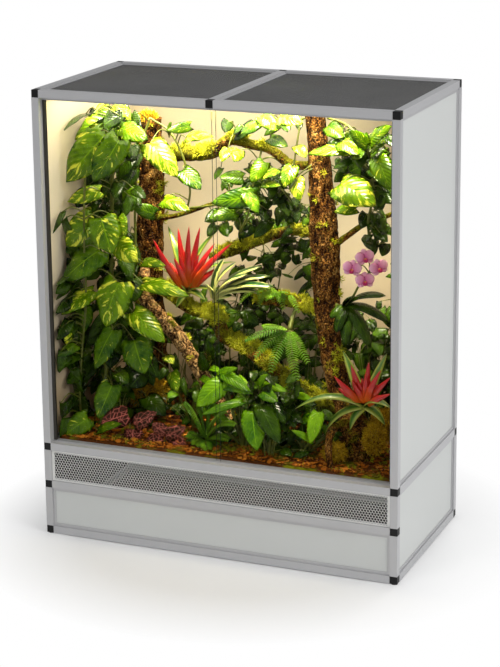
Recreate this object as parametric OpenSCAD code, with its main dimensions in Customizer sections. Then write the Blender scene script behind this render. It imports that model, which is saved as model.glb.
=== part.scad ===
// Planted terrarium cabinet: push-fit square aluminium tube with captive panel fins,
// moulded corner connectors, sliding glass doors, a perforated ventilation strip,
// gauze roof panels and a fixed planting of wood, climbers and ground plants.
// Millimetres. Origin at the middle of the footprint on the floor, +Y to the back, +Z up.

/* [Cabinet] */
// Overall width across the posts
body_w = 985; // [985:5:1200]
// Overall depth across the posts
body_d = 505; // [505:5:600]
// Overall height with the foot pads
body_h = 1200; // [1200:10:1400]
// Height of the deck rail's underside, where the vivarium begins
deck_z = 235; // [225:5:260]
// Height of the sill rail's underside, below the ventilation strip
sill_z = 130; // [110:5:140]

/* [Tube and connectors] */
// Outside width of the square tube
tube = 20; // [20:1:25]
// Wall of the tube
wall = 1.5; // [1.2:0.1:2]
// Depth of the fins that hold a panel's edge
fin_d = 8; // [6:1:9]
// Thickness of a fin
fin_t = 1.5; // [1.2:0.1:1.6]
// How far the outer fin is set back from the tube's face
fin_set = 4; // [3:0.5:5]
// Length of a connector's tenon inside the tube
tenon_len = 24; // [18:1:40]
// Height of the pad under each bottom corner
foot_h = 2; // [1:0.5:4]

/* [Panels and doors] */
// Thickness of the wall and floor panels
panel_t = 4; // [3:0.5:5]
// Thickness of the door glass
glass_t = 4; // [4:0.5:4.5]
// Overlap of the two doors in the middle
door_lap = 14; // [10:1:30]
// Columns of holes in the ventilation strip
vent_cols = 76; // [40:1:90]
// Rows of holes in the ventilation strip
vent_rows = 7; // [4:1:8]
// Hole diameter in the ventilation strip
vent_hole = 7; // [4:0.5:8]
// Openings along each side of a roof gauze panel
gauze_cells = 16; // [8:1:17]

/* [Planting] */
// Depth of the substrate at the doors
bed_front = 12; // [8:1:12]
// Depth of the substrate at the back wall
bed_back = 30; // [20:1:40]

/* [Hidden] */
$fn = 48;

// Frame levels and reaches
bottom_z = foot_h;
top_z = body_h - tube;
half_w = body_w / 2;
half_d = body_d / 2;
in_w = body_w - 2 * tube;
in_d = body_d - 2 * tube;
// A panel's slot between the two fins, and the clearance on each face
slot = panel_t + 0.2;
fin_in = fin_set + fin_t + slot;
edge_gap = 0.5;
seat_gap = 0.1;
// Shelf fin's height in a rail that carries a floor
shelf_v = 8;
deck_top = deck_z + shelf_v + fin_t + panel_t;
base_top = bottom_z + shelf_v + fin_t;

silver = "silver";
panel_grey = "gainsboro";
plastic_black = [0.1, 0.1, 0.1];
bark_brown = [0.45, 0.3, 0.16];
moss_green = [0.45, 0.5, 0.15];
leaf_green = [0.2, 0.5, 0.15];
leaf_bright = [0.4, 0.65, 0.2];
flower_red = [0.8, 0.15, 0.15];

// ---- Extruded tube with fins ------------------------------------------------

// Section of one tube: its corner at the origin, fins given as [side, offset across that side]
module fin(side, at) {
  if (side == "+u") translate([tube, at]) square([fin_d, fin_t]);
  if (side == "-u") translate([-fin_d, at]) square([fin_d, fin_t]);
  if (side == "+v") translate([at, tube]) square([fin_t, fin_d]);
  if (side == "-v") translate([at, -fin_d]) square([fin_t, fin_d]);
}

module tube_section() {
  difference() {
    square(tube);
    translate([wall, wall]) square(tube - 2 * wall);
  }
}

// A length of tube along +Z; its short fins stop before both ends, where others pass
module bar(length, fins, short_fins = []) {
  color(silver) {
    linear_extrude(length) tube_section();
    if (len(fins) > 0) linear_extrude(length) for (f = fins) fin(f[0], f[1]);
    if (len(short_fins) > 0)
      translate([0, 0, fin_d]) linear_extrude(length - 2 * fin_d) for (f = short_fins) fin(f[0], f[1]);
  }
}

// Places a bar: its section's u and v lie on the two row axes across its length
module along_x(x0, y0, z0) translate([x0, y0, z0]) rotate([90, 0, 90]) children();
module along_y(x0, y1, z0) translate([x0, y1, z0]) rotate([90, 0, 0]) children();
module right_hand() mirror([1, 0, 0]) children();
module rear_hand() mirror([0, 1, 0]) children();

// Fins in pairs, measured from the outer face of a left or front piece
function pair(side) = [[side, fin_set], [side, fin_in]];
function pair_top(side) = [[side, tube - fin_set - fin_t], [side, tube - fin_in - fin_t]];

// ---- Posts (front left one drawn, the others mirrored) ----------------------

module corner_post(z0, z1, fins)
  translate([-half_w, -half_d, z0]) bar(z1 - z0, [], fins);

module front_lower() corner_post(bottom_z + tube, sill_z, concat(pair("+u"), pair("+v")));
module front_middle() corner_post(sill_z + tube, deck_z, concat([["+u", vent_back]], pair("+v")));
module front_upper() corner_post(deck_z + tube, top_z, pair("+v"));
module rear_lower() rear_hand() corner_post(bottom_z + tube, deck_z, concat(pair("+u"), pair("+v")));
module rear_upper() rear_hand() corner_post(deck_z + tube, top_z, concat(pair("+u"), pair("+v")));

module post_front_left_lower() front_lower();
module post_front_left_middle() front_middle();
module post_front_left_upper() front_upper();
module post_front_right_lower() right_hand() front_lower();
module post_front_right_middle() right_hand() front_middle();
module post_front_right_upper() right_hand() front_upper();
module post_rear_left_lower() rear_lower();
module post_rear_left_upper() rear_upper();
module post_rear_right_lower() right_hand() rear_lower();
module post_rear_right_upper() right_hand() rear_upper();

// ---- Rails ------------------------------------------------------------------

// Across the front at height z: u runs to the back, v up
module front_rail(z0, fins) along_x(-in_w / 2, -half_d, z0) bar(in_w, fins);
// Along the left side at height z: u runs to the right, v up
module side_rail(z0, fins, short_fins) along_y(-half_w, in_d / 2, z0) bar(in_d, fins, short_fins);

// The strip sits against one fin, whose front face is its seat
vent_t = 1.2;
vent_back = fin_set + vent_t;

module bottom_rail_front() front_rail(bottom_z, concat(pair("+v"), [["+u", shelf_v]]));
module bottom_rail_rear() rear_hand() bottom_rail_front();
module bottom_rail_left() side_rail(bottom_z, pair("+v"), [["+u", shelf_v]]);
module bottom_rail_right() right_hand() bottom_rail_left();
module sill_rail() front_rail(sill_z, concat(pair("-v"), [["+v", vent_back]]));
module deck_rail_front() front_rail(deck_z, [["-v", vent_back], ["+u", shelf_v]]);
module deck_rail_rear()
  rear_hand() front_rail(deck_z, concat(pair("+v"), pair("-v"), [["+u", shelf_v]]));
module deck_rail_left() side_rail(deck_z, concat(pair("+v"), pair("-v")), [["+u", shelf_v]]);
module deck_rail_right() right_hand() deck_rail_left();

// The long top rails are two lengths either side of a roof tee
roof_half = (in_w - tube) / 2;
module split_rail(fins)
  for (x0 = [-in_w / 2, tube / 2]) along_x(x0, -half_d, top_z) bar(roof_half, fins);
// The fin under the front rail's back edge is the upper door track's seat
module top_rail_front() split_rail(concat(pair_top("+u"), [["-v", tube - fin_t]]));
module top_rail_rear() rear_hand() split_rail(concat(pair_top("+u"), pair("-v")));
module top_rail_left() side_rail(top_z, pair("-v"), pair_top("+u"));
module top_rail_right() right_hand() top_rail_left();
module roof_cross_rail()
  along_y(-tube / 2, in_d / 2, top_z) bar(in_d, [], concat(pair_top("+u"), pair_top("-u")));

// ---- Connectors -------------------------------------------------------------

round_r = 1.5;
tenon_w = tube - 2 * wall - 0.1;
lead_len = 3;
lead_w = tenon_w - 2;

module rounded_square(side, r) {
  translate([-side / 2 + r, -side / 2]) square([side - 2 * r, side]);
  translate([-side / 2, -side / 2 + r]) square([side, side - 2 * r]);
  for (x = [-1, 1]) for (y = [-1, 1]) translate([x, y] * (side / 2 - r)) circle(r);
}

// A cube rounded about all three axes
module soft_cube(side, r) {
  intersection() {
    translate([0, 0, -side / 2]) linear_extrude(side) rounded_square(side, r);
    rotate([90, 0, 0]) translate([0, 0, -side / 2]) linear_extrude(side) rounded_square(side, r);
    rotate([0, 90, 0]) translate([0, 0, -side / 2]) linear_extrude(side) rounded_square(side, r);
  }
}

// Cross-shaped tenon along +Z: four lobes bear on the tube's bore, with a stepped lead-in
module lobes(width) {
  square([width, width / 2], center = true);
  square([width / 2, width], center = true);
}

module tenon() {
  translate([0, 0, tube / 2 - round_r]) {
    linear_extrude(tenon_len - lead_len + round_r) lobes(tenon_w);
    linear_extrude(tenon_len + round_r) lobes(lead_w);
  }
}

// Arms are turns that take +Z to each tube's direction
UP = [0, 0, 0];
DOWN = [180, 0, 0];
INWARD = [0, 90, 0];
OUTWARD = [0, -90, 0];
BACKWARD = [-90, 0, 0];

module connector(centre, arms) {
  color(plastic_black) translate(centre) {
    soft_cube(tube, round_r);
    for (arm = arms) rotate(arm) tenon();
  }
}

corner_x = half_w - tube / 2;
corner_y = half_d - tube / 2;
module four_corners() {
  for (x = [0, 1]) for (y = [0, 1]) mirror([x, 0, 0]) mirror([0, y, 0]) children();
}

module bottom_corners() {
  four_corners() {
    connector([-corner_x, -corner_y, bottom_z + tube / 2], [UP, INWARD, BACKWARD]);
    color(plastic_black) translate([-corner_x, -corner_y, 0]) cylinder(h = foot_h + 1, r = tube / 2 - 1);
  }
}

module top_corners()
  four_corners() connector([-corner_x, -corner_y, top_z + tube / 2], [DOWN, INWARD, BACKWARD]);

module deck_connectors()
  four_corners() connector([-corner_x, -corner_y, deck_z + tube / 2], [UP, DOWN, INWARD, BACKWARD]);

module sill_tees()
  for (x = [0, 1]) mirror([x, 0, 0])
    connector([-corner_x, -corner_y, sill_z + tube / 2], [UP, DOWN, INWARD]);

module roof_tees()
  for (y = [0, 1]) mirror([0, y, 0])
    connector([0, -corner_y, top_z + tube / 2], [INWARD, OUTWARD, BACKWARD]);

// ---- Panels held between the fins -------------------------------------------

// How far a panel's edge runs into the slot beyond the tubes' inner line
panel_run = edge_gap;
slot_lo = fin_set + fin_t + seat_gap;

module side_panel(z0, z1)
  color(panel_grey)
    translate([-half_w + slot_lo, -in_d / 2 + edge_gap, z0 + edge_gap])
      cube([panel_t, in_d - 2 * edge_gap, z1 - z0 - 2 * edge_gap]);

module wall_panel(z0, z1)
  color(panel_grey)
    translate([-in_w / 2 + edge_gap, -half_d + slot_lo, z0 + edge_gap])
      cube([in_w - 2 * edge_gap, panel_t, z1 - z0 - 2 * edge_gap]);

module side_panel_left_lower() side_panel(bottom_z + tube, deck_z);
module side_panel_left_upper() side_panel(deck_z + tube, top_z);
module side_panel_right_lower() right_hand() side_panel_left_lower();
module side_panel_right_upper() right_hand() side_panel_left_upper();
module back_panel_lower() rear_hand() wall_panel(bottom_z + tube, deck_z);
module back_panel_upper() rear_hand() wall_panel(deck_z + tube, top_z);
module base_front_panel() wall_panel(bottom_z + tube, sill_z);

// Floors rest on the rails' shelf fins
module floor_plate(z0)
  color(panel_grey)
    translate([-in_w / 2 + edge_gap, -in_d / 2 + edge_gap, z0])
      cube([in_w - 2 * edge_gap, in_d - 2 * edge_gap, panel_t]);
module base_floor() floor_plate(base_top);
module vivarium_floor() floor_plate(deck_top - panel_t);

// Perforated strip: staggered rows of round holes
module vent_strip() {
  strip_w = in_w - 2 * edge_gap;
  strip_h = deck_z - sill_z - tube - 2 * edge_gap;
  step_x = strip_w / (vent_cols + 0.5);
  step_z = strip_h / vent_rows;
  color("dimgray")
    translate([-strip_w / 2, -half_d + vent_back, sill_z + tube + edge_gap])
      rotate([90, 0, 0])
        linear_extrude(vent_t)
          difference() {
            square([strip_w, strip_h]);
            for (row = [0:vent_rows - 1])
              for (col = [0:vent_cols - 1])
                translate([(col + 0.5 + (row % 2) / 2) * step_x, (row + 0.5) * step_z])
                  circle(d = vent_hole);
          }
}

// Roof panel: an edge frame that fills the slot, and a gauze of square openings inside it
frame_w = 10;
gauze_wire = 2.4;
gauze_t = 1.2;
gauze_z = top_z + tube - fin_set - fin_t - seat_gap - panel_t;

module roof_gauze_left() {
  span_x = roof_half - 2 * edge_gap;
  span_y = in_d - 2 * edge_gap;
  cell_x = (span_x - 2 * frame_w + gauze_wire) / gauze_cells;
  cell_y = (span_y - 2 * frame_w + gauze_wire) / gauze_cells;
  color("dimgray") translate([-in_w / 2 + edge_gap, -in_d / 2 + edge_gap, gauze_z]) {
    linear_extrude(panel_t)
      difference() {
        square([span_x, span_y]);
        translate([frame_w, frame_w]) square([span_x - 2 * frame_w, span_y - 2 * frame_w]);
      }
    translate([0, 0, (panel_t - gauze_t) / 2])
      linear_extrude(gauze_t)
        difference() {
          translate([frame_w / 2, frame_w / 2]) square([span_x - frame_w, span_y - frame_w]);
          for (i = [0:gauze_cells - 1])
            for (j = [0:gauze_cells - 1])
              translate([frame_w + i * cell_x, frame_w + j * cell_y])
                square([cell_x - gauze_wire, cell_y - gauze_wire]);
        }
  }
}
module roof_gauze_right() right_hand() roof_gauze_left();

// ---- Sliding glass doors and their tracks -----------------------------------

groove = glass_t + 1;
track_web = 1.5;
track_mid = 2;
track_d = 2 * groove + 2 * track_web + track_mid;
track_floor = 2;
track_low_h = tube - shelf_v - fin_t - panel_t + 3.5;
track_top_h = 8;
track_top_z = top_z - track_top_h;
front_glass_y = -in_d / 2 + track_web + 0.5;
rear_glass_y = front_glass_y + groove + track_mid;
door_reach = in_w / 2 - 0.5;
glass_z = deck_top + track_floor + 0.3;
glass_top = track_top_z + track_top_h - track_floor - 2;

// E-shaped section: u to the back, v up, grooves open upwards
module track_section(height) {
  difference() {
    square([track_d, height]);
    for (y = [track_web, track_web + groove + track_mid])
      translate([y, track_floor]) square([groove, height]);
  }
}

module door_track_bottom()
  color(silver) along_x(-in_w / 2 + edge_gap, -in_d / 2, deck_top)
    linear_extrude(in_w - 2 * edge_gap) track_section(track_low_h);

module door_track_top()
  color(silver) translate([0, 0, 2 * track_top_z + track_top_h]) mirror([0, 0, 1])
    along_x(-in_w / 2 + edge_gap, -in_d / 2, track_top_z)
      linear_extrude(in_w - 2 * edge_gap) track_section(track_top_h);

// Upright U channels on the posts' backs: the right one stands on a spacer web
channel_out = 4;
channel_in = 8;
channel_z0 = deck_top + track_low_h;
channel_wall = 1.3;

module channel(glass_y)
  color(plastic_black)
    translate([-in_w / 2 - channel_out, -in_d / 2, channel_z0])
      linear_extrude(track_top_z - channel_z0)
        difference() {
          square([channel_out + channel_in, glass_y + groove + channel_wall - 0.5 + in_d / 2]);
          translate([channel_wall, glass_y - 0.5 + in_d / 2]) square([channel_out + channel_in, groove]);
          if (glass_y > front_glass_y)
            translate([channel_wall, channel_wall])
              square([channel_out + channel_in - 2 * channel_wall, glass_y - 0.5 - 2 * channel_wall + in_d / 2]);
        }
module door_channel_left() channel(front_glass_y);
module door_channel_right() right_hand() channel(rear_glass_y);

module glass_door(glass_y)
  color([0.8, 0.9, 0.88, 0.35])
    translate([-door_reach, glass_y, glass_z])
      cube([door_reach + door_lap / 2, glass_t, glass_top - glass_z]);
module glass_door_left() glass_door(front_glass_y);
module glass_door_right() right_hand() glass_door(rear_glass_y);

// ---- Wood -------------------------------------------------------------------

// Smooth route through hand-placed points [x, y, z, radius]
function blend(a, b, c, d, t) =
  0.5 * (2 * b + (c - a) * t + (2 * a - 5 * b + 4 * c - d) * t * t + (3 * b - a - 3 * c + d) * t * t * t);
function route(points, steps) = [
  for (i = [0:len(points) - 2])
    for (j = [0:steps - 1])
      blend(points[max(i - 1, 0)], points[i], points[i + 1], points[min(i + 2, len(points) - 1)], j / steps),
  points[len(points) - 1]
];
function xyz(p) = [p[0], p[1], p[2]];
function unit(v) = v / norm(v);
// Knots and hollows of the bark, as a share of the radius
function knobby(ring, side) = 1 + 0.09 * sin(ring * 97 + side * 151) + 0.07 * sin(ring * 41 - side * 67);

// One closed tube along a route, with a knobbly skin
module limb(points, steps = 3, sides = 8, rough = 1) {
  line = route(points, steps);
  last = len(line) - 1;
  ring_points = [
    for (i = [0:last])
      let (
        along = unit(xyz(line[min(i + 1, last)]) - xyz(line[max(i - 1, 0)])),
        side_u = unit(cross([0.05, 1, 0.1], along)),
        side_v = cross(along, side_u)
      )
      for (k = [0:sides - 1])
        let (swell = 1 + rough * (knobby(i, k) - 1), turn = 360 * k / sides)
        xyz(line[i]) + line[i][3] * swell * (cos(turn) * side_u + sin(turn) * side_v)
  ];
  skin = [
    for (i = [0:last - 1])
      for (k = [0:sides - 1])
        let (a = i * sides + k, b = i * sides + (k + 1) % sides)
        each [[a, b, b + sides], [a, b + sides, a + sides]]
  ];
  start_cap = [[for (k = [sides - 1:-1:0]) k]];
  end_cap = [[for (k = [0:sides - 1]) last * sides + k]];
  polyhedron(ring_points, concat(skin, start_cap, end_cap), convexity = 6);
}

// A straight rod between two points
module rod(a, b, r, sides = 6) {
  d = b - a;
  translate(a) rotate([0, acos(d[2] / norm(d)), atan2(d[1], d[0])]) cylinder(h = norm(d), r = r, $fn = sides);
}

bed_z = deck_top;

module trunk_left()
  color(bark_brown)
    limb([[-345, 130, bed_z + 6, 46], [-350, 130, 420, 42], [-352, 125, 600, 40],
          [-345, 122, 760, 38], [-336, 120, 920, 36], [-338, 120, 1075, 32]]);

module trunk_right() {
  color(bark_brown) {
    limb([[330, -80, bed_z + 10, 58], [330, -80, bed_z + 30, 54], [316, -68, 315, 50], [286, -42, 370, 34], [246, -10, 440, 29],
          [215, 20, 520, 30], [200, 35, 640, 36], [194, 40, 770, 40], [182, 45, 920, 33],
          [170, 50, 1060, 27], [160, 55, 1160, 25]]);
    limb([[300, -90, 350, 16], [278, -140, 345, 11], [284, -180, 300, 9], [300, -195, bed_z + 6, 8]], 2, 6);
  }
}

module upper_branch()
  color(bark_brown)
    limb([[-322, 112, 955, 22], [-258, 98, 982, 22], [-150, 95, 995, 20], [-92, 95, 1034, 17],
          [-35, 95, 1024, 15], [22, 92, 1016, 14], [80, 84, 984, 13], [130, 66, 984, 12], [165, 50, 1000, 12]]);

module mossy_branch()
  color(moss_green)
    limb([[-320, 112, 615, 22], [-205, 72, 570, 21], [-125, 35, 566, 20], [-88, 30, 512, 20],
          [-22, 20, 490, 20], [34, 0, 467, 21], [95, -20, 441, 20], [155, -30, 403, 19], [262, -40, 372, 18]]);

module scaly_branch()
  color(bark_brown)
    limb([[-350, 95, 655, 16], [-300, -25, 625, 17], [-262, -45, 590, 19], [-209, -50, 544, 21],
          [-160, -52, 484, 20], [-110, -60, 418, 20], [-50, -70, 330, 21], [2, -80, bed_z + 24, 20]]);

module twigs() {
  color(bark_brown) {
    limb([[196, 38, 740, 11], [221, 50, 784, 9], [262, 52, 819, 9], [305, 50, 849, 8],
          [367, 50, 875, 7], [425, 60, 900, 6]], 2, 6);
    limb([[-318, 110, 800, 9], [-262, 100, 812, 8], [-190, 95, 838, 7], [-140, 90, 860, 5]], 2, 6);
    limb([[-180, 160, 690, 15], [-100, 155, 722, 17], [-30, 150, 755, 17], [55, 150, 785, 14],
          [190, 60, 800, 12]], 2, 7);
    limb([[-10, 70, 610, 15], [20, 62, 618, 19], [100, 55, 618, 19], [195, 40, 600, 14]], 2, 7);
  }
}

// ---- Substrate --------------------------------------------------------------

bed_steps = 14;
bed_x = in_w / 2 - 4;
bed_y0 = -in_d / 2 + track_d + 1;
bed_y1 = in_d / 2 - 3;
// Rises to the back wall in low swells
function bed_depth(v) = bed_front + (bed_back - bed_front) * v + 3 * v * sin(v * 540);
bed_profile = [for (j = [0:bed_steps]) let (v = j / bed_steps) [bed_y0 + (bed_y1 - bed_y0) * v, bed_depth(v)]];

module substrate_bed()
  color([0.5, 0.3, 0.15]) along_x(-bed_x, 0, bed_z)
    linear_extrude(2 * bed_x) polygon(concat(bed_profile, [[bed_y1, 0], [bed_y0, 0]]));

// ---- Leaves -----------------------------------------------------------------

blade_t = 1.4;
stalk_w = 4;
// Half width along a blade: round at the base, full near its middle, pointed at the tip
function half_width(t, full) = sin(180 * pow(t, ln(0.5) / ln(full))) * (1 - 0.3 * t);

// One leaf as a closed lens from base to tip: its upper side looks along face,
// its tip droops away from face, teeth give a fern's comb edge, and
// the share called stalk stays narrow, as a leaf stalk
module blade(base, tip, width, face = [0.3, -0.8, 0.5], droop = 0.12, full = 0.36,
             cells = 4, teeth = false, stalk = 0) {
  length = norm(tip - base);
  ax = (tip - base) / length;
  az = unit(face - (face * ax) * ax);
  ay = cross(az, ax);
  inner = cells - 1;
  stations = [for (i = [1:inner]) i / cells];
  rib = [for (t = stations) base + ax * length * t + az * droop * length * (t - t * t) * 1.6];
  reach = [
    for (i = [0:inner - 1])
      stations[i] <= stalk ? stalk_w / 2
        : width / 2 * half_width((stations[i] - stalk) / (1 - stalk), full) * (teeth && i % 2 == 0 ? 0.3 : 1)
  ];
  points = concat(
    [for (p = rib) p + az * blade_t / 2],
    [for (p = rib) p - az * blade_t / 2],
    [for (i = [0:inner - 1]) rib[i] + ay * reach[i] + az * 0.2 * reach[i]],
    [for (i = [0:inner - 1]) rib[i] - ay * reach[i] + az * 0.2 * reach[i]],
    [base, tip]
  );
  low = inner;
  lhs = 2 * inner;
  rhs = 3 * inner;
  root = 4 * inner;
  end = root + 1;
  strips = [
    for (i = [0:inner - 2])
      each [
        [i, lhs + i, lhs + i + 1], [i, lhs + i + 1, i + 1],
        [i, i + 1, rhs + i + 1], [i, rhs + i + 1, rhs + i],
        [low + i, lhs + i + 1, lhs + i], [low + i, low + i + 1, lhs + i + 1],
        [low + i, rhs + i + 1, low + i + 1], [low + i, rhs + i, rhs + i + 1]
      ]
  ];
  n = inner - 1;
  ends = [
    [root, lhs, 0], [n, lhs + n, end], [root, 0, rhs], [n, end, rhs + n],
    [root, low, lhs], [low + n, end, lhs + n], [root, rhs, low], [low + n, rhs + n, end]
  ];
  polyhedron(points, concat(strips, ends), convexity = 4);
}

// A repeatable scatter between -1 and 1
function vary(seed) = sin(seed * 137.5);
function clamp(value, low, high) = min(max(value, low), high);
// Draws a leaf's tip in, so that it stays off the walls, the doors, the bed and the roof
tip_gap = 7;
function inside(p) = [
  clamp(p[0], tip_gap - in_w / 2, in_w / 2 - tip_gap),
  clamp(p[1], bed_y0 + tip_gap, in_d / 2 - tip_gap),
  clamp(p[2], bed_z + 2 * tip_gap, track_top_z - tip_gap)
];

// Rosette: blades about a crown, the first ones upright, the last ones arching out
module rosette(centre, count, length, width, rise, fall, droop = 0.2, seed = 0) {
  translate(centre - [0, 0, 12]) cylinder(h = 24, r = width * 0.5, $fn = 8);
  for (i = [0:count - 1]) {
    heading = seed * 50 + i * 137.5;
    lift = rise - fall * i / count + 6 * vary(i + seed);
    out = [cos(heading) * cos(lift), sin(heading) * cos(lift), sin(lift)];
    up = [-cos(heading) * sin(lift), -sin(heading) * sin(lift), cos(lift)];
    start = centre + 3 * out;
    tip = inside(centre + out * length * (0.85 + 0.15 * vary(i * 3 + seed)));
    blade(start, tip, width, up, droop, 0.4);
  }
}

// Climber: canes between the points, with stalked leaves to the left and right in turn
cane_r = 4;
module climber(points, per_cane, leaf, seed = 0) {
  for (i = [0:len(points) - 2]) {
    a = points[i];
    b = points[i + 1];
    rod(a, b + 2 * unit(b - a), cane_r, 8);
    for (k = [0:per_cane - 1]) {
      n = i * per_cane + k + seed;
      side = n % 2 == 0 ? -1 : 1;
      at = a + (b - a) * (k + 0.5) / per_cane;
      hang = unit([side * (0.75 + 0.2 * vary(n * 7)), -0.42 + 0.15 * vary(n * 5), -0.55 + 0.35 * vary(n * 3)]);
      size = leaf * (0.9 + 0.14 * vary(n * 11));
      tip = inside(at + hang * size * 1.3);
      blade(at + hang, tip, size * 0.66, [0.2, -0.85, 0.5], 0.14, 0.4, 6, false, 0.2);
    }
  }
}

module climber_left() {
  color(leaf_green) {
    climber([[-342, 115, 1062], [-392, 30, 1030], [-400, -20, 850], [-388, -60, 650], [-392, -90, 430],
             [-380, -100, bed_z + 6]], 3, 100, 1);
    climber([[-300, 106, 966], [-298, 20, 880], [-330, -40, 700], [-305, -105, 470]], 3, 88, 2);
  }
}

module climber_right() {
  color(leaf_green) {
    climber([[-88, 94, 1036], [40, 20, 1050], [66, 0, 930], [10, -10, 850]], 3, 76, 1);
    climber([[166, 52, 1128], [385, 10, 1100], [345, -10, 1010], [312, -20, 900], [300, -30, 810]], 3, 84, 4);
  }
}

module bromeliads() {
  color(flower_red) {
    rosette([-194, 60, 632], 12, 158, 26, 82, 55, 0.14, 3);
    rosette([352, -105, 415], 12, 118, 22, 78, 60, 0.14, 6);
  }
  color(leaf_green) {
    rosette([352, -105, 405], 9, 170, 24, 48, 40, 0.25, 8);
    translate([352, -105, bed_z + 5]) cylinder(h = 150, r = 10, $fn = 8);
    translate([-194, 60, 568]) cylinder(h = 58, r = 12, $fn = 8);
  }
}

// One blossom: five petals about a core, on a stalk from the spray's stem
module blossom(centre, from) {
  rod(from, centre + [0, 4, 0], 1.6);
  translate(centre + [0, 5, 0]) rotate([90, 0, 0]) cylinder(h = 9, r = 4, $fn = 8);
  for (k = [0:4]) {
    turn = 72 * k + 18;
    petal = [cos(turn), -0.15, sin(turn)];
    blade(centre + 2 * petal, centre + 24 * petal, 19, [0.1, -1, 0.2], 0.1, 0.55, 3);
  }
}

module orchid() {
  fork = [350, -58, 746];
  crown = [268, 0, 640];
  color(leaf_green) {
    rosette(crown, 7, 140, 30, 62, 50, 0.3, 2);
    rod(crown, fork, 3, 8);
    rod([205, 35, 632], crown, 9, 8);
  }
  color([0.95, 0.5, 0.75])
    for (spot = [[338, -70, 784], [302, -86, 762], [370, -66, 762], [334, -72, 728]])
      blossom(spot, fork);
}

module ferns() {
  color(leaf_bright) {
    rosette([95, -18, 530], 7, 120, 30, 60, 60, 0.2, 1);
    for (k = [0:8]) {
      heading = 200 + 140 * k / 8;
      foot = [-80 + 6 * vary(k), -120 + 5 * vary(k * 3), bed_z + 14];
      out = [cos(heading) * 0.75, sin(heading) * 0.45, 0.62 + 0.3 * vary(k * 7)];
      blade(foot, foot + 105 * unit(out), 34, [0, -0.5, 0.85], 0.22, 0.4, 12, true);
    }
    translate([-80, -120, bed_z + 6]) cylinder(h = 18, r = 12, $fn = 8);
    translate([95, -18, 445]) cylinder(h = 80, r = 10, $fn = 8);
  }
}

module ground_plants() {
  color(leaf_bright) {
    for (plant = [[-360, -60, 1, 96], [-170, -20, 2, 90], [30, -120, 3, 92], [110, -150, 4, 84], [200, -120, 5, 76]]) {
      centre = [plant[0], plant[1], bed_z + 70];
      rosette(centre, 7, plant[3], plant[3] * 0.5, 62, 62, 0.18, plant[2]);
      translate([plant[0], plant[1], bed_z + 4]) cylinder(h = 70, r = 8, $fn = 8);
    }
  }
  color(flower_red)
    for (k = [0:3]) {
      centre = [-290 + 52 * k, -165 + 14 * vary(k), bed_z + 34];
      rosette(centre, 6, 50, 34, 40, 40, 0.12, k);
      translate(centre - [0, 0, 30]) cylinder(h = 22, r = 5, $fn = 8);
    }
}

post_front_left_lower();
post_front_left_middle();
post_front_left_upper();
post_front_right_lower();
post_front_right_middle();
post_front_right_upper();
post_rear_left_lower();
post_rear_left_upper();
post_rear_right_lower();
post_rear_right_upper();
bottom_rail_front();
bottom_rail_rear();
bottom_rail_left();
bottom_rail_right();
sill_rail();
deck_rail_front();
deck_rail_rear();
deck_rail_left();
deck_rail_right();
top_rail_front();
top_rail_rear();
top_rail_left();
top_rail_right();
roof_cross_rail();
bottom_corners();
top_corners();
deck_connectors();
sill_tees();
roof_tees();
side_panel_left_lower();
side_panel_left_upper();
side_panel_right_lower();
side_panel_right_upper();
back_panel_lower();
back_panel_upper();
base_front_panel();
vent_strip();
roof_gauze_left();
roof_gauze_right();
base_floor();
vivarium_floor();
door_track_bottom();
door_track_top();
door_channel_left();
door_channel_right();
glass_door_left();
glass_door_right();
substrate_bed();
trunk_left();
trunk_right();
upper_branch();
mossy_branch();
scaly_branch();
twigs();
climber_left();
climber_right();
bromeliads();
orchid();
ferns();
ground_plants();
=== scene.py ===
import bmesh
import bpy
import math
import numpy as np
from mathutils import Matrix, Vector, noise


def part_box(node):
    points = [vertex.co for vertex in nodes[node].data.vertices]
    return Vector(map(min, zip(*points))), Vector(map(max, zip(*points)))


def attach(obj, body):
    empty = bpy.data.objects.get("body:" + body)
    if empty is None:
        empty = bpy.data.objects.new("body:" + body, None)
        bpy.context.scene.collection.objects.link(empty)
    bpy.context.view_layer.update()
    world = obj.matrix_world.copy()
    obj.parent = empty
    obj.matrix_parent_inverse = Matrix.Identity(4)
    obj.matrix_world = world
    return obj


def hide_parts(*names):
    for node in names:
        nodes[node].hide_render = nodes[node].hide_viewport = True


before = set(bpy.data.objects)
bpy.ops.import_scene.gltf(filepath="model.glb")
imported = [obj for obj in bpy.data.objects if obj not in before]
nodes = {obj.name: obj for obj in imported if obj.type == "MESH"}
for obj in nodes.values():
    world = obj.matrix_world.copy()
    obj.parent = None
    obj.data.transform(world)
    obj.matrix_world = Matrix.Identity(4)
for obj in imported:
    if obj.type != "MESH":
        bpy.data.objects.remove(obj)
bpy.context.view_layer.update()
scene = bpy.context.scene
scene.view_settings.view_transform = "Standard"


# ---- The view ----------------------------------------------------------------
# A standing person's view of the cabinet from its right, a little above it, through a
# long lens, so that the uprights stay parallel. The eye is in metres; the lens and its
# axis are in the picture's pixels.
eye = np.array([1.962, -4.727, 2.044])
yaw, pitch, roll = math.radians(22.54), math.radians(13.91), math.radians(-0.62)
photo_w, photo_h = 500, 667
lens_px = 2021.0
axis_px = (photo_w / 2, 245.0)
ahead = np.array([-math.sin(yaw) * math.cos(pitch), math.cos(yaw) * math.cos(pitch), -math.sin(pitch)])
level = np.array([math.cos(yaw), math.sin(yaw), 0.0])
rise = np.cross(level, ahead)
across = level * math.cos(roll) + rise * math.sin(roll)
upward = rise * math.cos(roll) - level * math.sin(roll)

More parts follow.
